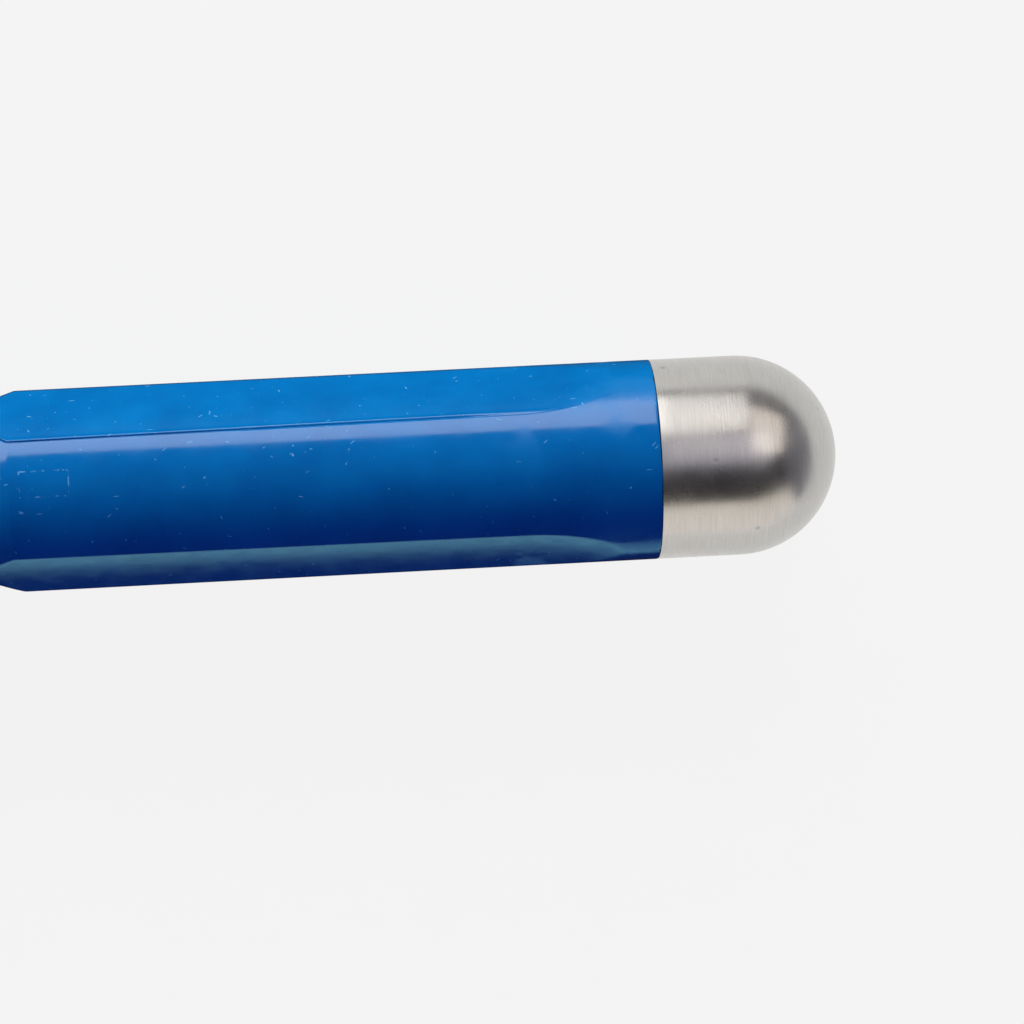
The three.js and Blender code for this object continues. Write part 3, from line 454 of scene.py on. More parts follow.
def brush_lines(tree, fine, slow):
    """Noise drawn out into lines round the pen: lines to the millimetre, and changes in a turn"""
    x, out, round_it = cylinder_coordinates(tree)
    lines = [add(tree, "ShaderNodeMath", {0: source, 1: scale}, operation="MULTIPLY").outputs[0]
             for source, scale in ((x, fine), (out, fine), (round_it, slow))]
    where = add(tree, "ShaderNodeCombineXYZ", {"X": lines[0], "Y": lines[1], "Z": lines[2]})
    made = add(tree, "ShaderNodeTexNoise", {"Vector": where.outputs[0]}, Scale=1, Detail=4,
               Roughness=0.65)
    return made.outputs["Fac"]


# Brushed aluminium: the lines are 0.05 to 0.2 mm apart and tilt the light along the pen, which makes
# the highlights soft one way and sharp the other. Pits are bright on one side and dark on the other.
brushed, tree, shader = material("brushed_aluminium")
lines = brush_lines(tree, 9, 3)
tone = ramp(tree, lines, [(0.3, linear("#bab7b3")), (0.7, linear("#c8c6c2"))])
own = add(tree, "ShaderNodeTexCoord").outputs["Object"]
cells = add(tree, "ShaderNodeTexVoronoi", {"Vector": own}, Scale=900)
pick = add(tree, "ShaderNodeSeparateColor", {"Color": cells.outputs["Color"]})
few = add(tree, "ShaderNodeMath", {0: pick.outputs[0], 1: 0.035}, operation="LESS_THAN")
hollow = add(tree, "ShaderNodeMapRange", {"Value": cells.outputs["Distance"]}, From_Min=0.28,
             From_Max=0.1)
pits = add(tree, "ShaderNodeMath", {0: few.outputs[0], 1: hollow.outputs[0]}, operation="MULTIPLY")
pitted = add(tree, "ShaderNodeMix", {
    "Factor": pits.outputs[0], "A": tone, "B": linear("#a3a1a2")}, data_type="RGBA")
clouds = add(tree, "ShaderNodeTexNoise", {"Vector": own}, Scale=350, Detail=3)
gloss = ramp(tree, clouds.outputs["Fac"], [(0.3, 0.24), (0.7, 0.32)])
scored = add(tree, "ShaderNodeBump", {"Height": lines}, Strength=0.25, Distance=0.01 * MM)
dented = add(tree, "ShaderNodeBump", {"Height": pits.outputs[0], "Normal": scored.outputs[0]},
             Strength=0.7, Distance=-0.02 * MM)
wire(tree, shader, {"Base Color": pitted.outputs["Result"], "Metallic": 1, "Roughness": gloss,
                    "Normal": dented.outputs[0]})


def turned(profile, sides=128):
    """A turned skin from its profile, in millimetres from the tip and from the axis"""
    rounds = spread(0, 2 * math.pi, sides)[:-1]
    return skin_over([[spot(x, max(r, 0), a) for a in rounds] for x, r in profile])


def quarter(centre, r, steps, back=False):
    """A quarter circle from the full radius to the axis, or back"""
    arc = [(centre + r * math.sin(a), r * math.cos(a)) for a in spread(0, math.pi / 2, steps)]
    arc[-1] = (centre + r, 0)
    return arc[::-1] if back else arc


CAP_WALL = 1.1
cap_front, cap_end = station("end_cap")
dome_x = cap_end - R
inner_r = R - CAP_WALL
cap_profile = (quarter(dome_x, inner_r, 16, back=True)
               + corner(dome_x, inner_r, cap_front, inner_r, cap_front, R, 0.1)
               + corner(cap_front, inner_r, cap_front, R, dome_x, R, 0.03)
               + [(x, R) for x in spread(cap_front + 1, dome_x - 1, 4)] + quarter(dome_x, R, 40))
cap_skin = turned(cap_profile)
cap_shell = settle("end_cap_turned", cap_skin, brushed, "cap", ["end_cap"])


# ---- Neck ring ----
# A turned aluminium ring that joins the two barrels: a sleeve is pressed into each, and its flange
# stands between them.
NECK_SLEEVE_R, NECK_BORE_R, FLANGE_R, FLANGE_HALF = 6.2, 5.7, 6.85, 0.7
neck_front, neck_rear = station("neck_ring")
flange = rear_front - 0.1 - FLANGE_HALF
sleeve_edge = NECK_SLEEVE_R - 0.3
ring_profile = [(neck_front, NECK_BORE_R), (neck_front, sleeve_edge), (neck_front + 0.3, NECK_SLEEVE_R)]
for side in (-1, 1):
    edge = flange + side * FLANGE_HALF
    bend = corner(edge, NECK_SLEEVE_R, edge, FLANGE_R, flange, FLANGE_R, 0.15)
    root_of_flange = [(edge, NECK_SLEEVE_R)]
    ring_profile += root_of_flange + bend if side < 0 else bend[::-1] + root_of_flange
ring_profile += [(neck_rear - 0.3, NECK_SLEEVE_R), (neck_rear, sleeve_edge), (neck_rear, NECK_BORE_R),
                 (neck_front, NECK_BORE_R)]
ring_skin = turned(ring_profile)
neck_ring = settle("neck_ring_turned", ring_skin, brushed, "root", ["neck_ring"])
for piece in (cap_shell, neck_ring):
    for group in (bare_metal, all_but_metal, neither):
        group.objects.link(piece)


# ---- Front barrel ----
# The blue shell between the grip and the neck, of the same moulding as the rear barrel. One flat has
# windows for the two buttons, the speed slide and the light. Its slim front end is inside the grip.
def upright(x, y, z):
    """A point in the pen's own frame, its buttons upwards, in millimetres from the tip and the axis"""
    facing = FLATS[1]
    across = Vector((0, math.sin(facing), -math.cos(facing)))
    out = Vector((0, math.cos(facing), math.sin(facing)))
    return Vector((TIP + x * MM, 0, AXIS.z)) + (across * y + out * z) * MM


def long_hole(x, length, width, z, steps=12):
    """A ring of points round a slot outline with round ends, along the pen, at a height"""
    r, reach = width / 2, max((length - width) / 2, 0)
    ring = []
    for end in (1, -1):
        for a in spread(-math.pi / 2, math.pi / 2, steps):
            ring.append(upright(x + end * (reach + r * math.cos(a)), end * r * math.sin(a), z))
    return ring


def capped(rings):
    """The rings, closed at both ends by drawing each end together to its middle"""
    ends = [[sum(ring, Vector()) / len(ring)] * len(ring) for ring in (rings[0], rings[-1])]
    return [ends[0]] + rings + [ends[1]]


def carved(skin, cutters):
    """A skin after cutters, each a skin too, are taken out of it"""
    holders = []
    for part in [skin] + cutters:
        mesh = bpy.data.meshes.new("carving")
        part.to_mesh(mesh)
        part.free()
        holders.append(bpy.data.objects.new("carving", mesh))
        bpy.context.scene.collection.objects.link(holders[-1])
    for cutter in holders[1:]:
        cut = holders[0].modifiers.new("cut", "BOOLEAN")
        cut.object, cut.operation, cut.solver = cutter, "DIFFERENCE", "EXACT"
    result = bmesh.new()
    result.from_mesh(holders[0].evaluated_get(bpy.context.evaluated_depsgraph_get()).to_mesh())
    for holder in holders:
        bpy.data.meshes.remove(holder.data)
    bmesh.ops.dissolve_degenerate(result, edges=result.edges, dist=0.0005 * MM)
    return result


def opening(x, length, width, rise=0.2):
    """A cutter for a window in the button flat, with a small bevel round its rim"""
    levels = [(4, 0), (FLAT_FRONT - rise + 0.02, 0), (FLAT_FRONT - rise / 2, 0.05),
              (FLAT_FRONT + 0.1, rise), (9, rise)]
    return skin_over(capped([long_hole(x, length + 2 * out, width + 2 * out, z) for z, out in levels]))


FIT = 0.3  # between a button and its window
BUTTON_WIDTH = 4.4
FRONT_CORE_R, FRONT_CORE_BORE, STEP_R = 6.35, 5.6, 7.7
front_start, front_end = station("front_barrel")
grip_front, grip_rear = station("grip_sleeve")
step_x = grip_rear + 0.3  # the front barrel swells out from under the grip here


def middle_of(node):
    """The middle of a CAD node along the pen, and its length, in millimetres"""
    low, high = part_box(node)
    return ((low.x + high.x) / 2 - TIP) / MM, (high.x - low.x) / MM


def front_flat(x):
    """From the axis to a flat of the front barrel"""
    return FLAT_FRONT + 0.06 * (x - front_start) / (front_end - front_start)


rings = [[spot(x, r, a) for a in angles] for x, r in
         ((front_start, FRONT_CORE_BORE), (front_start, FRONT_CORE_R - 0.1),
          (front_start + 0.1, FRONT_CORE_R), (step_x - 0.01, FRONT_CORE_R))]
for x, r in ((step_x, STEP_R - 0.4), (step_x + 0.02, STEP_R - 0.12), (step_x + 0.12, STEP_R + 0.02),
             (step_x + 0.5, R - 0.02), (step_x + 0.7, R)):
    rings.append(flatted_ring(x, r, front_flat(x), 0.06))
cone_start = front_end - CONE
for x in spread(step_x + 1, cone_start - 0.4, 32) + spread(cone_start - 0.35, front_end - 0.15, 18):
    rings.append(flatted_ring(x, barrel_round(front_end - x, 0, CONE), front_flat(x), 0.08))
for a in (0, 0.5, 1):
    back = ROUNDED * (1 - math.sin(a * math.pi / 2))
    r = CONE_R - ROUNDED * (1 - math.cos(a * math.pi / 2))
    rings.append(flatted_ring(front_end - back, r, front_flat(front_end), 0.05))
rings += [[spot(x, r, a) for a in angles] for x, r in
          ((front_end, REAR_BORE), (step_x + 1, REAR_BORE), (step_x + 1, FRONT_CORE_BORE))]
rings.append(rings[0])
feed_x, feed_long = middle_of("feed_button")
retract_x, retract_long = middle_of("retract_button")
LIP = 1  # a button's lip reaches this far past each end of its window
feed_long, retract_long = feed_long - 2 * LIP, retract_long - 2 * LIP
slide_x = middle_of("speed_knob")[0]
light_x = middle_of("light_pipe")[0]
SLOT_LONG, SLOT_WIDE, LIGHT_R = 7.4, 1.9, 0.9
openings = [opening(feed_x, feed_long + 2 * FIT, BUTTON_WIDTH + 2 * FIT),
            opening(retract_x, retract_long + 2 * FIT, BUTTON_WIDTH + 2 * FIT),
            opening(slide_x, SLOT_LONG, SLOT_WIDE, 0.12),
            opening(light_x, 2 * LIGHT_R + 0.3, 2 * LIGHT_R + 0.3, 0.1)]
front_skin = carved(skin_over(rings), openings)
front_shell = settle("front_barrel_shell", front_skin, blue, "root", ["front_barrel"])
for piece in (rear_shell, front_shell):
    for group in (barrels, neither):
        group.objects.link(piece)
for group in (all_but_metal, neither):
    for held in group.collection_objects:
        held.light_linking.link_state = "EXCLUDE"


# ---- Grip ----
# A soft dark sleeve, moulded of thermoplastic elastomer and slid over the slim end of the front
# barrel. It is a rounded triangle in section, with ribs round its front half and pips on its flats.
rubber, tree, shader = material("soft_touch_elastomer")
own = add(tree, "ShaderNodeTexCoord").outputs["Object"]
spark = add(tree, "ShaderNodeTexNoise", {"Vector": own}, Scale=4500, Detail=2)  # sparked grain, 0.2 mm
smudge = add(tree, "ShaderNodeTexNoise", {"Vector": own}, Scale=160, Detail=5, Roughness=0.6)
dusty = ramp(tree, smudge.outputs["Fac"], [(0.35, linear("#22262c")), (0.7, linear("#2f343a"))])
worn = ramp(tree, smudge.outputs["Fac"], [(0.3, 0.88), (0.75, 0.62)])
grain = add(tree, "ShaderNodeBump", {"Height": spark.outputs["Fac"]}, Strength=0.5, Distance=0.03 * MM)
wire(tree, shader, {"Base Color": dusty, "Roughness": worn, "Normal": grain.outputs[0], "IOR": 1.5,
                    "Specular IOR Level": 0.35})

GRIP_NOSE_R, GRIP_CORNER_R, GRIP_BORE = 7.1, 8.55, 6.5
GRIP_TAPER = 17.1  # length of the tapered front
GRIP_FLAT, GRIP_NOSE_FLAT = AXIS.z / MM, 6.75
PIP_HIGH = 0.24
GROOVES, GROOVE_PITCH, GROOVE_DEEP, GROOVE_HALF = 9, 1.7, 0.35, 0.42
GRIP_SOFT = 0.5  # the width over which its edges are rounded
taper_end = grip_front + GRIP_TAPER


def grip_radii(x):
    """The corner radius of the grip and the distance to its flats, with its grooves"""
    t = min(1, (x - grip_front) / GRIP_TAPER)
    corner_r = GRIP_NOSE_R + (GRIP_CORNER_R - GRIP_NOSE_R) * t
    rise = (GRIP_FLAT - GRIP_NOSE_FLAT) * (x - grip_front + 1) / (GRIP_TAPER + 1)
    flat = min(GRIP_FLAT, GRIP_NOSE_FLAT + rise)
    flat -= PIP_HIGH * min(1, max(0, (x - grip_front - 1.2) / 1), max(0, (grip_rear - 0.6 - x) / 0.6))
    groove = 0
    for i in range(GROOVES):
        off = abs(x - (grip_front + 2 + i * GROOVE_PITCH)) / GROOVE_HALF
        if off < 1:
            groove = GROOVE_DEEP * (math.cos(off * math.pi) + 1) / 2
    return corner_r - groove, flat - groove * 0.35


def grip_end(x, inward, size):
    """Rings of a small round edge at an end of the grip, towards its middle or away from it"""
    made = []
    for a in spread(0, math.pi / 2, 4):
        place, inset = x + inward * size * (1 - math.sin(a)), size * (1 - math.cos(a))
        r, flat = grip_radii(place)
        made.append(flatted_ring(place, r - inset, flat - inset, GRIP_SOFT))
    return made


rings = grip_end(grip_front, 1, 0.45)[::-1]
for x in spread(grip_front + 0.5, taper_end + 0.6, 150) + spread(taper_end + 1.2, grip_rear - 0.6, 20):
    rings.append(flatted_ring(x, *grip_radii(x), GRIP_SOFT))
rings += grip_end(grip_rear, -1, 0.5)
rings += [[spot(x, GRIP_BORE, a) for a in angles] for x in (grip_rear, grip_front)]
rings.append(rings[0])
settle("grip_moulding", skin_over(rings), rubber, "root", ["grip_sleeve"], 50)


# The pips: low round domes in rows, on each flat of the grip behind its taper
def repeated(name, tree, values):
    """The plain mesh that a geometry tree makes from its named inputs, as a skin"""
    holder = bpy.data.objects.new(name, bpy.data.meshes.new(name))
    bpy.context.scene.collection.objects.link(holder)
    maker = holder.modifiers.new(name, "NODES")
    maker.node_group = tree
    for item in tree.interface.items_tree:
        if item.in_out == "INPUT" and item.name in values:
            maker[item.identifier] = values[item.name]
    evaluated = holder.evaluated_get(bpy.context.evaluated_depsgraph_get())
    made = bpy.data.meshes.new_from_object(evaluated)
    bpy.data.objects.remove(holder)
    skin = bmesh.new()
    skin.from_mesh(made)
    bpy.data.meshes.remove(made)
    return skin


def geometry_tree(name, inputs):
    """An empty geometry tree with named inputs, each with its socket type"""
    tree = bpy.data.node_groups.new(name, "GeometryNodeTree")
    tree.interface.new_socket("Geometry", in_out="OUTPUT", socket_type="NodeSocketGeometry")
    for label, kind in inputs.items():
        tree.interface.new_socket(label, in_out="INPUT", socket_type=kind)
    return tree, add(tree, "NodeGroupInput").outputs, add(tree, "NodeGroupOutput")


def ended(tree, source, finish, output):
    """Ends a geometry tree: its instances made real, and its material set"""
    real = add(tree, "GeometryNodeRealizeInstances", {"Geometry": source})
    painted = add(tree, "GeometryNodeSetMaterial", {"Geometry": real.outputs[0], "Material": finish})
    tree.links.new(painted.outputs[0], output.inputs[0])


number, whole = "NodeSocketFloat", "NodeSocketInt"
tree, given, output = geometry_tree("rows_of_pips", {
    "Rows": whole, "Columns": whole, "Length": number, "Width": number, "Pip radius": number,
    "Pip height": number})
grid = add(tree, "GeometryNodeMeshGrid", {"Size X": given["Length"], "Size Y": given["Width"],
                                          "Vertices X": given["Columns"], "Vertices Y": given["Rows"]})
ball = add(tree, "GeometryNodeMeshUVSphere", Segments=16, Rings=10, Radius=1)
shape = add(tree, "ShaderNodeCombineXYZ", {"X": given["Pip radius"], "Y": given["Pip radius"],
                                           "Z": given["Pip height"]})
domes = add(tree, "GeometryNodeInstanceOnPoints", {
    "Points": grid.outputs["Mesh"], "Instance": ball.outputs["Mesh"], "Scale": shape.outputs[0]})
ended(tree, domes.outputs[0], rubber, output)
PIP_ROWS, PIP_COLUMNS, PIP_PITCH, PIP_R = 3, 7, 1.5, 0.38
pips = repeated("pips", tree, {
    "Rows": PIP_ROWS, "Columns": PIP_COLUMNS, "Length": (PIP_COLUMNS - 1) * PIP_PITCH * MM,
    "Width": (PIP_ROWS - 1) * PIP_PITCH * MM, "Pip radius": PIP_R * MM, "Pip height": PIP_HIGH * MM})
middle = Matrix.Translation((TIP + (taper_end + grip_rear) / 2 * MM, 0, AXIS.z))
raised = Matrix.Translation((0, 0, (GRIP_FLAT - PIP_HIGH) * MM))
all_pips = bmesh.new()
holder = bpy.data.meshes.new("holder")
for facing in FLATS:
    turned_copy = pips.copy()
    face_out = Matrix.Rotation(facing - math.pi / 2, 4, "X")
    bmesh.ops.transform(turned_copy, matrix=middle @ face_out @ raised, verts=turned_copy.verts)
    turned_copy.to_mesh(holder)
    all_pips.from_mesh(holder)
bpy.data.meshes.remove(holder)
settle("grip_pips", all_pips, rubber, "root", ["grip_sleeve"], 60)


# ---- Nose and nozzle ----
# A cone of heat-resistant black resin round the hot end, with a fine sparked texture, and the turned
# brass nozzle that the melted plastic comes out of.
resin, tree, shader = material("sparked_black_resin")
own = add(tree, "ShaderNodeTexCoord").outputs["Object"]
spark = add(tree, "ShaderNodeTexNoise", {"Vector": own}, Scale=5000, Detail=3)  # 0.2 mm spark grain
tone = ramp(tree, spark.outputs["Fac"], [(0.35, linear("#26272a")), (0.65, linear("#303134"))])
rubbed = add(tree, "ShaderNodeTexNoise", {"Vector": own}, Scale=260, Detail=4)
shine = ramp(tree, rubbed.outputs["Fac"], [(0.35, 0.58), (0.7, 0.42)])
grain = add(tree, "ShaderNodeBump", {"Height": spark.outputs["Fac"]}, Strength=0.45, Distance=0.025 * MM)
wire(tree, shader, {"Base Color": tone, "Roughness": shine, "Normal": grain.outputs[0]})

nose_front, nose_end = station("nose_cowl")
NOSE_REAR, NOSE_REAR_R = 26.2, 6.75
CONE_START, CONE_START_R = 6, 3.9  # where the nose turns from its blunt tip to its cone
slope = (NOSE_REAR_R - CONE_START_R) / (NOSE_REAR - CONE_START)
nose_profile = [(nose_front, 2.6)]
nose_profile += corner(nose_front, 2.6, nose_front, 3.3, CONE_START, CONE_START_R, 0.25)
nose_profile += corner(nose_front, 3.3, CONE_START, CONE_START_R, NOSE_REAR, NOSE_REAR_R, 0.35)
nose_profile += [(x, CONE_START_R + slope * (x - CONE_START)) for x in spread(7, 25, 9)]
nose_profile += corner(7, 4.04, NOSE_REAR, NOSE_REAR_R, NOSE_REAR, 5.4, 0.2)
nose_profile += [(NOSE_REAR, 5.4), (nose_end - 0.2, 5.4), (nose_end, 5.2), (nose_end, 4.9),
                 (NOSE_REAR, 4.9), (9, 3.25), (6.4, 3.1), (6, 2.6), (nose_front, 2.6)]
settle("nose_moulding", turned(nose_profile), resin, "root", ["nose_cowl"])

# Turned brass: warm, with fine tool lines round it
brass, tree, shader = material("turned_brass")
lines = brush_lines(tree, 7, 2)
tone = ramp(tree, lines, [(0.3, linear("#9c7a3c")), (0.7, linear("#bf9c5c"))])
shine = ramp(tree, lines, [(0.3, 0.34), (0.7, 0.22)])
scored = add(tree, "ShaderNodeBump", {"Height": lines}, Strength=0.3, Distance=0.01 * MM)
wire(tree, shader, {"Base Color": tone, "Metallic": 1, "Roughness": shine, "Normal": scored.outputs[0]})

nozzle_profile = ([(0, 0.3)] + corner(0, 0.3, 0, 0.6, 3.2, 1.9, 0.1)
                  + corner(0, 0.6, 3.2, 1.9, 6.2, 1.9, 0.3) + corner(3.2, 1.9, 6.2, 1.9, 6.2, 1.5, 0.12)
                  + [(6.2, 1.5), (8.6, 1.5), (8.8, 1.3), (8.8, 0.95), (2.2, 0.95), (1.2, 0.3), (0, 0.3)])
settle("nozzle_turned", turned(nozzle_profile, 64), brass, "root", ["nozzle"])


# ---- Filament and power inlet ----
# What the end cap hides: a moulded plug with a rubber seal ring in its groove, a brass bushing that
# takes the filament in, and the slot of the power socket beside it.
def own_line(profile, y, sides=48):
    """A turned skin on a line beside the pen's axis, in the pen's own frame"""
    rounds = spread(0, 2 * math.pi, sides)[:-1]
    return skin_over([[upright(x, y + r * math.cos(a), r * math.sin(a)) for a in rounds]
                      for x, r in profile])


def socket_ring(x, inset, steps=12):
    """A ring of points round the power socket's outline across the pen"""
    r, reach = SOCKET_THICK / 2 - inset, (SOCKET_LONG - SOCKET_THICK) / 2
    return [upright(x, SOCKET_Y + r * math.cos(a + start), end * reach + r * math.sin(a + start))
            for start, end in ((0, 1), (math.pi, -1)) for a in spread(0, math.pi, steps)]


SOCKET_LONG, SOCKET_THICK, SOCKET_Y = 8.94, 3.16, -1.9
TUBE_Y = 2.3  # the filament comes in on this line
PLUG_R, SPIGOT_R, SEAL_AT, SEAL_R, SEAL_SECTION = 6.2, 6.6, 156.9, 6.4, 0.42
plug_front, plug_rear = station("inlet_plug")
groove_r, groove_half = SEAL_R - SEAL_SECTION - 0.1, SEAL_SECTION + 0.1
plug_profile = [(plug_front, 0), (plug_front, 6), (plug_front + 0.2, PLUG_R), (cap_front, PLUG_R),
                (cap_front, SPIGOT_R - 0.05), (cap_front + 0.05, SPIGOT_R)]
plug_profile += [(SEAL_AT + side * groove_half, r) for side, r in (
    (-1, SPIGOT_R), (-1, groove_r), (1, groove_r), (1, SPIGOT_R))]
plug_profile += corner(SEAL_AT + 1, SPIGOT_R, plug_rear, SPIGOT_R, plug_rear, 6, 0.5, 8)
plug_profile += [(plug_rear, 0)]
before, past = plug_front - 1, plug_rear + 1
seat, rim = plug_rear - 2.9, plug_rear + 0.2  # the counterbore that the bushing sits in
holes = [skin_over(capped([socket_ring(x, -0.2) for x in (before, past)])),
         own_line([(before, 0), (before, 1.5), (past, 1.5), (past, 0)], TUBE_Y),
         own_line([(seat, 0), (seat, 2.3), (plug_rear - 0.15, 2.3), (rim, 2.65), (rim, 0)], TUBE_Y)]
plug = carved(turned(plug_profile), holes)
settle("inlet_plug_moulding", plug, resin, "root", ["inlet_plug"])

nitrile, tree, shader = material("moulded_nitrile")
own = add(tree, "ShaderNodeTexCoord").outputs["Object"]
film = add(tree, "ShaderNodeTexNoise", {"Vector": own}, Scale=700, Detail=4)
tone = ramp(tree, film.outputs["Fac"], [(0.35, linear("#17181a")), (0.7, linear("#232427"))])
greasy = ramp(tree, film.outputs["Fac"], [(0.35, 0.5), (0.7, 0.32)])
uneven = add(tree, "ShaderNodeBump", {"Height": film.outputs["Fac"]}, Strength=0.2, Distance=0.02 * MM)
wire(tree, shader, {"Base Color": tone, "Roughness": greasy, "Normal": uneven.outputs[0]})
seal_profile = [(SEAL_AT + SEAL_SECTION * math.cos(a), SEAL_R + SEAL_SECTION * math.sin(a))
                for a in spread(0, 2 * math.pi, 20)]
seal_profile[-1] = seal_profile[0]
settle("cap_seal_ring", turned(seal_profile), nitrile, "root", ["cap_seal"], 60)

bush_front, bush_rear = station("inlet_bushing")
BUSH_BORE_R, BUSH_R = 0.95, 2.1
mouth = [(bush_front, BUSH_BORE_R), (bush_front, BUSH_R - 0.1), (bush_front + 0.1, BUSH_R),
         (bush_rear - 0.1, BUSH_R), (bush_rear, BUSH_R - 0.1), (bush_rear, 1.85)]
mouth += [(bush_rear - 1.4 * t, BUSH_BORE_R + 0.88 * (1 - t) ** 2) for t in spread(0, 1, 8)]
mouth += [(bush_front, BUSH_BORE_R)]
settle("inlet_bushing_turned", own_line(mouth, TUBE_Y), brass, "root", ["inlet_bushing"])

# Drawn steel: grey and bright, with faint marks along it
steel, tree, shader = material("drawn_bright_steel")
own = add(tree, "ShaderNodeTexCoord").outputs["Object"]
drawn = add(tree, "ShaderNodeMapping", {"Vector": own, "Scale": (300, 2500, 2500)})
streaks = add(tree, "ShaderNodeTexNoise", {"Vector": drawn.outputs[0]}, Scale=1, Detail=4)
tone = ramp(tree, streaks.outputs["Fac"], [(0.3, linear("#8b8d90")), (0.7, linear("#b0b2b5"))])
shine = ramp(tree, streaks.outputs["Fac"], [(0.3, 0.38), (0.7, 0.25)])
marked = add(tree, "ShaderNodeBump", {"Height": streaks.outputs["Fac"]}, Strength=0.2, Distance=0.01 * MM)
wire(tree, shader, {"Base Color": tone, "Metallic": 1, "Roughness": shine, "Normal": marked.outputs[0]})
shell_front, shell_rear = station("socket_shell")
SHELL_WALL = 0.3
shell = [socket_ring(x, inset) for x, inset in (
    (shell_front, 0.1), (shell_front + 0.1, 0), (shell_rear - 0.08, 0), (shell_rear, 0.08),
    (shell_rear, SHELL_WALL - 0.06), (shell_rear - 0.06, SHELL_WALL), (shell_front + 0.5, SHELL_WALL))]
settle("socket_shell_drawn", skin_over(capped(shell)), steel, "root", ["socket_shell"])


# ---- Buttons ----
# Two push buttons moulded of pale resin: a long one that feeds and a short one that draws back. Each
# has a filleted rim and a dished top, and a lip at each end that holds it behind its window.
pale, tree, shader = material("moulded_pale_resin")
own = add(tree, "ShaderNodeTexCoord").outputs["Object"]
touch = add(tree, "ShaderNodeTexNoise", {"Vector": own}, Scale=300, Detail=5, Roughness=0.65)
tone = ramp(tree, touch.outputs["Fac"], [(0.3, linear("#cfd3d6")), (0.7, linear("#dfe2e4"))])
shine = ramp(tree, touch.outputs["Fac"], [(0.3, 0.42), (0.75, 0.28)])
satin = add(tree, "ShaderNodeTexNoise", {"Vector": own}, Scale=6000, Detail=2)
grain = add(tree, "ShaderNodeBump", {"Height": satin.outputs["Fac"]}, Strength=0.25, Distance=0.015 * MM)
wire(tree, shader, {"Base Color": tone, "Roughness": shine, "Normal": grain.outputs[0], "IOR": 1.49})

BUTTON_FLOOR, LIP_TOP, PROUD, FILLET, DISH = 5, 5.6, 0.5, 0.55, 0.3
button_top = FLAT_FRONT + PROUD


def button(name, x, length, body, node):
    """A button: its lip, its sides, its rounded rim and its dished top, from the bottom up"""
    rings = [long_hole(x, length + 2 * LIP, BUTTON_WIDTH - 0.2, z) for z in (BUTTON_FLOOR, LIP_TOP)]
    rings += [long_hole(x, length, BUTTON_WIDTH, z) for z in (LIP_TOP, button_top - FILLET)]
    for a in spread(0, math.pi / 2, 6)[1:]:
        inset = FILLET * (1 - math.cos(a))
        rings.append(long_hole(x, length - 2 * inset, BUTTON_WIDTH - 2 * inset,
                               button_top - FILLET * (1 - math.sin(a))))
    for t in spread(0, 1, 10)[1:]:
        inset = FILLET + (BUTTON_WIDTH / 2 - FILLET) * t
        sunk = DISH * t * t * (3 - 2 * t)
        rings.append(long_hole(x, length - 2 * inset, BUTTON_WIDTH - 2 * inset, button_top - sunk))
    floor_middle = [sum(rings[0], Vector()) / len(rings[0])] * len(rings[0])
    settle(name, skin_over([floor_middle] + rings), pale, body, [node], 40)


button("feed_button_moulding", feed_x, feed_long, "feed_key", "feed_button")
button("retract_button_moulding", retract_x, retract_long, "retract_key", "retract_button")


# ---- Speed slide and light ----
# A small ribbed slide that sets the feed speed: its stem reaches through the slot to the control on
# the board. In front of the buttons, a clear moulded pipe brings the light of the board to the flat.
def block_ring(x, y_half, x_half, z, r, steps=5):
    """A ring of points round a rectangle with round corners, at a height"""
    ring = []
    for quarter_turn, (ex, ey) in enumerate(((1, 1), (-1, 1), (-1, -1), (1, -1))):
        for a in spread(0, math.pi / 2, steps):
            a += quarter_turn * math.pi / 2
            ring.append(upright(x + ex * (x_half - r) + r * math.cos(a),
                                ey * (y_half - r) + r * math.sin(a), z))
    return ring


PAD_HALF, PAD_HALF_WIDE, PAD_FLOOR, PAD_TOP, PAD_ROUND = 2.1, 1.9, 7.41, 7.96, 0.25
STEM_HALF, STEM_HALF_WIDE, STEM_FLOOR = 1.0, 0.65, 5.1
pad = [block_ring(slide_x, STEM_HALF_WIDE, STEM_HALF, z, 0.2) for z in (STEM_FLOOR, PAD_FLOOR)]
pad += [block_ring(slide_x, PAD_HALF_WIDE - 0.08, PAD_HALF - 0.08, PAD_FLOOR, 0.5),
        block_ring(slide_x, PAD_HALF_WIDE, PAD_HALF, PAD_FLOOR + 0.08, 0.5)]
for a in spread(0, math.pi / 2, 5):
    inset = PAD_ROUND * (1 - math.cos(a))
    pad.append(block_ring(slide_x, PAD_HALF_WIDE - inset, PAD_HALF - inset,
                          PAD_TOP - PAD_ROUND * (1 - math.sin(a)), 0.5 - inset * 0.8))
pad_skin = skin_over(capped(pad))
settle("speed_slide_pad", pad_skin, pale, "speed_slider", ["speed_knob"], 40)

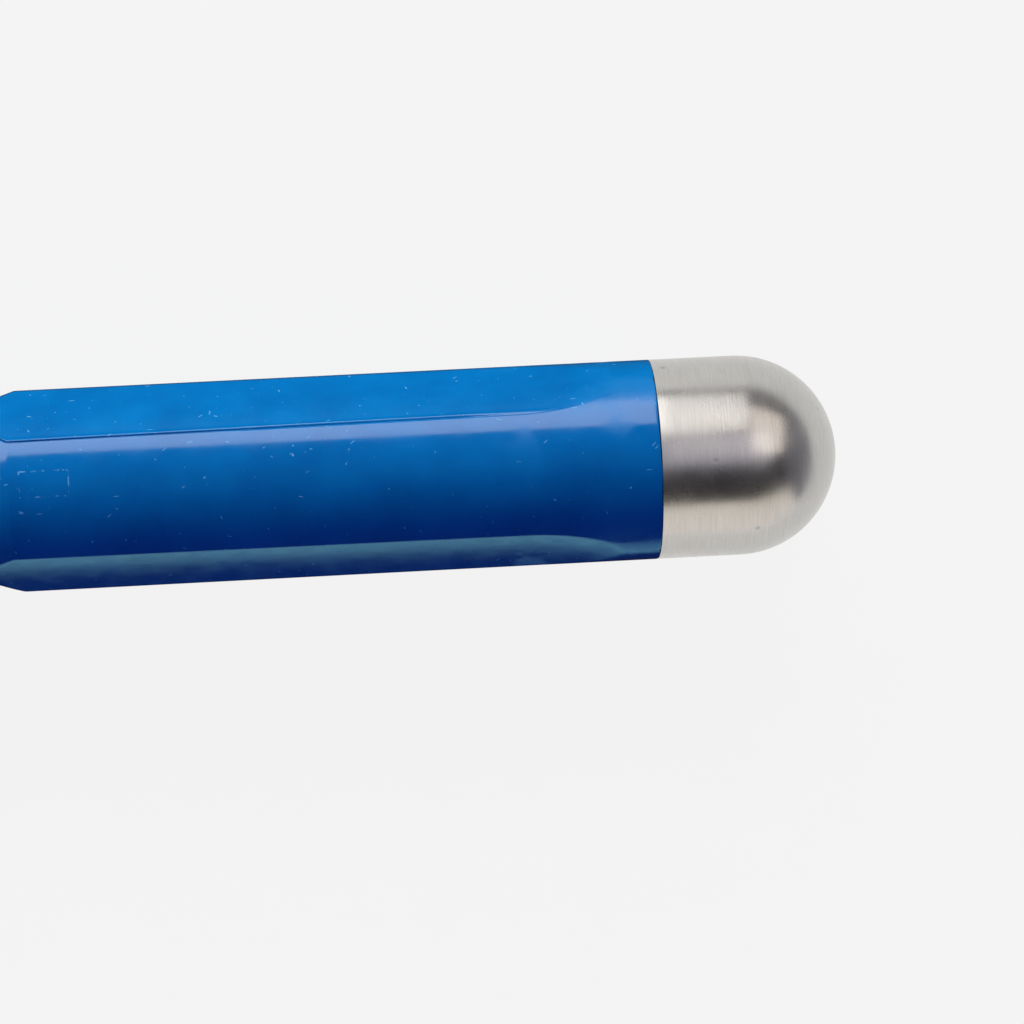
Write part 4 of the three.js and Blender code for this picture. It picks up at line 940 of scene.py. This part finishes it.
tree, given, output = geometry_tree("row_of_ribs", {
    "Ribs": whole, "Pitch": number, "Rib radius": number, "Rib length": number})
step = add(tree, "ShaderNodeCombineXYZ", {"X": given["Pitch"]})
row = add(tree, "GeometryNodeMeshLine", {"Count": given["Ribs"], "Offset": step.outputs[0]})
half_long = add(tree, "ShaderNodeMath", {0: given["Rib length"], 1: 0.5}, operation="MULTIPLY")
bar = add(tree, "GeometryNodeMeshUVSphere", Segments=16, Rings=12, Radius=1)
shape = add(tree, "ShaderNodeCombineXYZ", {"X": given["Rib radius"], "Y": half_long.outputs[0],
                                           "Z": given["Rib radius"]})
ribs = add(tree, "GeometryNodeInstanceOnPoints", {
    "Points": row.outputs[0], "Instance": bar.outputs["Mesh"], "Scale": shape.outputs[0]})
ended(tree, ribs.outputs[0], pale, output)
RIBS, RIB_PITCH, RIB_R = 3, 1.2, 0.25
ribs = repeated("ribs", tree, {"Ribs": RIBS, "Pitch": RIB_PITCH * MM, "Rib radius": RIB_R * MM,
                               "Rib length": 3.4 * MM})
first_rib = upright(slide_x - RIB_PITCH * (RIBS - 1) / 2, 0, PAD_TOP - 0.06)
bmesh.ops.transform(ribs, verts=ribs.verts, matrix=Matrix.Translation(first_rib)
                    @ Matrix.Rotation(FLATS[1] - math.pi / 2, 4, "X"))
settle("speed_slide_ribs", ribs, pale, "speed_slider", ["speed_knob"], 60)

clear, tree, shader = material("frosted_clear_acrylic")
own = add(tree, "ShaderNodeTexCoord").outputs["Object"]
frost = add(tree, "ShaderNodeTexNoise", {"Vector": own}, Scale=3500, Detail=3)
tone = ramp(tree, frost.outputs["Fac"], [(0.3, linear("#dfe9e5")), (0.7, linear("#eef4f1"))])
shine = ramp(tree, frost.outputs["Fac"], [(0.3, 0.25), (0.7, 0.45)])
wire(tree, shader, {"Base Color": tone, "Roughness": shine, "Transmission Weight": 0.5, "IOR": 1.49})
PIPE_FLOOR, PIPE_TOP = 4.5, 7.31
pipe = [long_hole(light_x, 2 * LIGHT_R, 2 * LIGHT_R, z) for z in (PIPE_FLOOR, PIPE_TOP - 0.15)]
for t in spread(0, 1, 6)[1:]:
    r = LIGHT_R * math.cos(t * math.pi / 2 * 0.98)
    pipe.append(long_hole(light_x, 2 * r, 2 * r, PIPE_TOP - 0.15 + 0.15 * math.sin(t * math.pi / 2)))
settle("light_pipe_moulding", skin_over(capped(pipe)), clear, "root", ["light_pipe"], 50)


# ---- Works inside the shell ----
# The hot end, the feed drive, the board and their leads. They keep their plain outlines, and each
# takes the finish of its own stuff: none of them shows while the pen is closed.
slots = {part["node"]: part["material_slot"] for part in frame["record"]["subparts"]}
works = {"black_resin": resin, "brass": brass, "steel": steel, "button_resin": pale}


def grained(name, low, high, grain, rough, metallic=0.0, stretch=(1, 1, 1), relief=0.01):
    """A finish whose colour, gloss and relief follow one noise: two colours, the grain in millimetres"""
    made, tree, shader = material(name)
    own = add(tree, "ShaderNodeTexCoord").outputs["Object"]
    laid = add(tree, "ShaderNodeMapping", {"Vector": own, "Scale": [s / (grain * MM) for s in stretch]})
    field = add(tree, "ShaderNodeTexNoise", {"Vector": laid.outputs[0]}, Scale=1, Detail=3)
    tone = ramp(tree, field.outputs["Fac"], [(0.35, linear(low)), (0.65, linear(high))])
    gloss = ramp(tree, field.outputs["Fac"], [(0.3, rough[0]), (0.7, rough[1])])
    bump = add(tree, "ShaderNodeBump", {"Height": field.outputs["Fac"]}, Strength=0.4,
               Distance=relief * MM)
    wire(tree, shader, {"Base Color": tone, "Roughness": gloss, "Metallic": metallic,
                        "Normal": bump.outputs[0]})
    return made, tree, shader


for slot, settings in {
    # as turned: tool lines across the fins
    "sink_aluminium": ("turned_aluminium_fins", "#9da1a5", "#b6babd", 0.6, (0.3, 0.45), 1.0, (8, 1, 1)),
    # fired alumina: off-white, matt and slightly grainy
    "ceramic": ("fired_alumina", "#e6e2d8", "#f3f0e9", 0.25, (0.45, 0.6), 0.0, (1, 1, 1), 0.02),
    # extruded fluoropolymer: waxy white
    "ptfe": ("extruded_fluoropolymer", "#e6e9e8", "#f4f6f5", 0.5, (0.3, 0.42), 0.0, (0.1, 1, 1)),
    # moulded epoxy: dark grey with a fine moulded grain
    "chip_black": ("moulded_epoxy", "#141517", "#1f2023", 0.08, (0.55, 0.7), 0.0, (1, 1, 1), 0.006),
    # extruded insulation, red and black: smooth along the lead
    "lead_red": ("red_lead_insulation", "#9c1f1a", "#b52a22", 0.4, (0.35, 0.5), 0.0, (0.2, 1, 1)),
    "lead_black": ("black_lead_insulation", "#131416", "#1e2022", 0.4, (0.35, 0.5), 0.0, (0.2, 1, 1)),
}.items():
    works[slot] = grained(*settings)[0]

# Woven glass fibre: yarns 0.35 mm apart that pass over and under each other
works["glass_fibre"], tree, shader = grained("woven_glass_fibre", "#c6b688", "#dccfa6", 0.12, (0.7, 0.9))
own = add(tree, "ShaderNodeTexCoord").outputs["Object"]
yarns = []
for direction in ("X", "DIAGONAL"):
    yarn = add(tree, "ShaderNodeTexWave", {
        "Vector": own}, bands_direction=direction, Scale=900, Distortion=0.3)
    yarns.append(yarn.outputs["Fac"])
weave = add(tree, "ShaderNodeBump", {"Height": strongest(tree, *yarns)}, Strength=0.8, Distance=0.06 * MM)
tree.links.new(weave.outputs[0], shader.inputs["Normal"])

# Green solder mask over the laminate, with the copper tracks showing paler beneath it
works["board_green"], tree, shader = grained("solder_mask_board", "#17492f", "#205f3e", 0.5, (0.25, 0.4))
own = add(tree, "ShaderNodeTexCoord").outputs["Object"]
tracks = add(tree, "ShaderNodeTexVoronoi", {"Vector": own}, Scale=700, feature="DISTANCE_TO_EDGE")
copper = ramp(tree, tracks.outputs["Distance"], [(0.06, linear("#2f7a50")), (0.1, linear("#1b5236"))])
tree.links.new(copper, shader.inputs["Base Color"])

for node, thing in frame["nodes"].items():
    if slots[node] in works:
        for held in thing.material_slots:
            held.material = works[slots[node]]
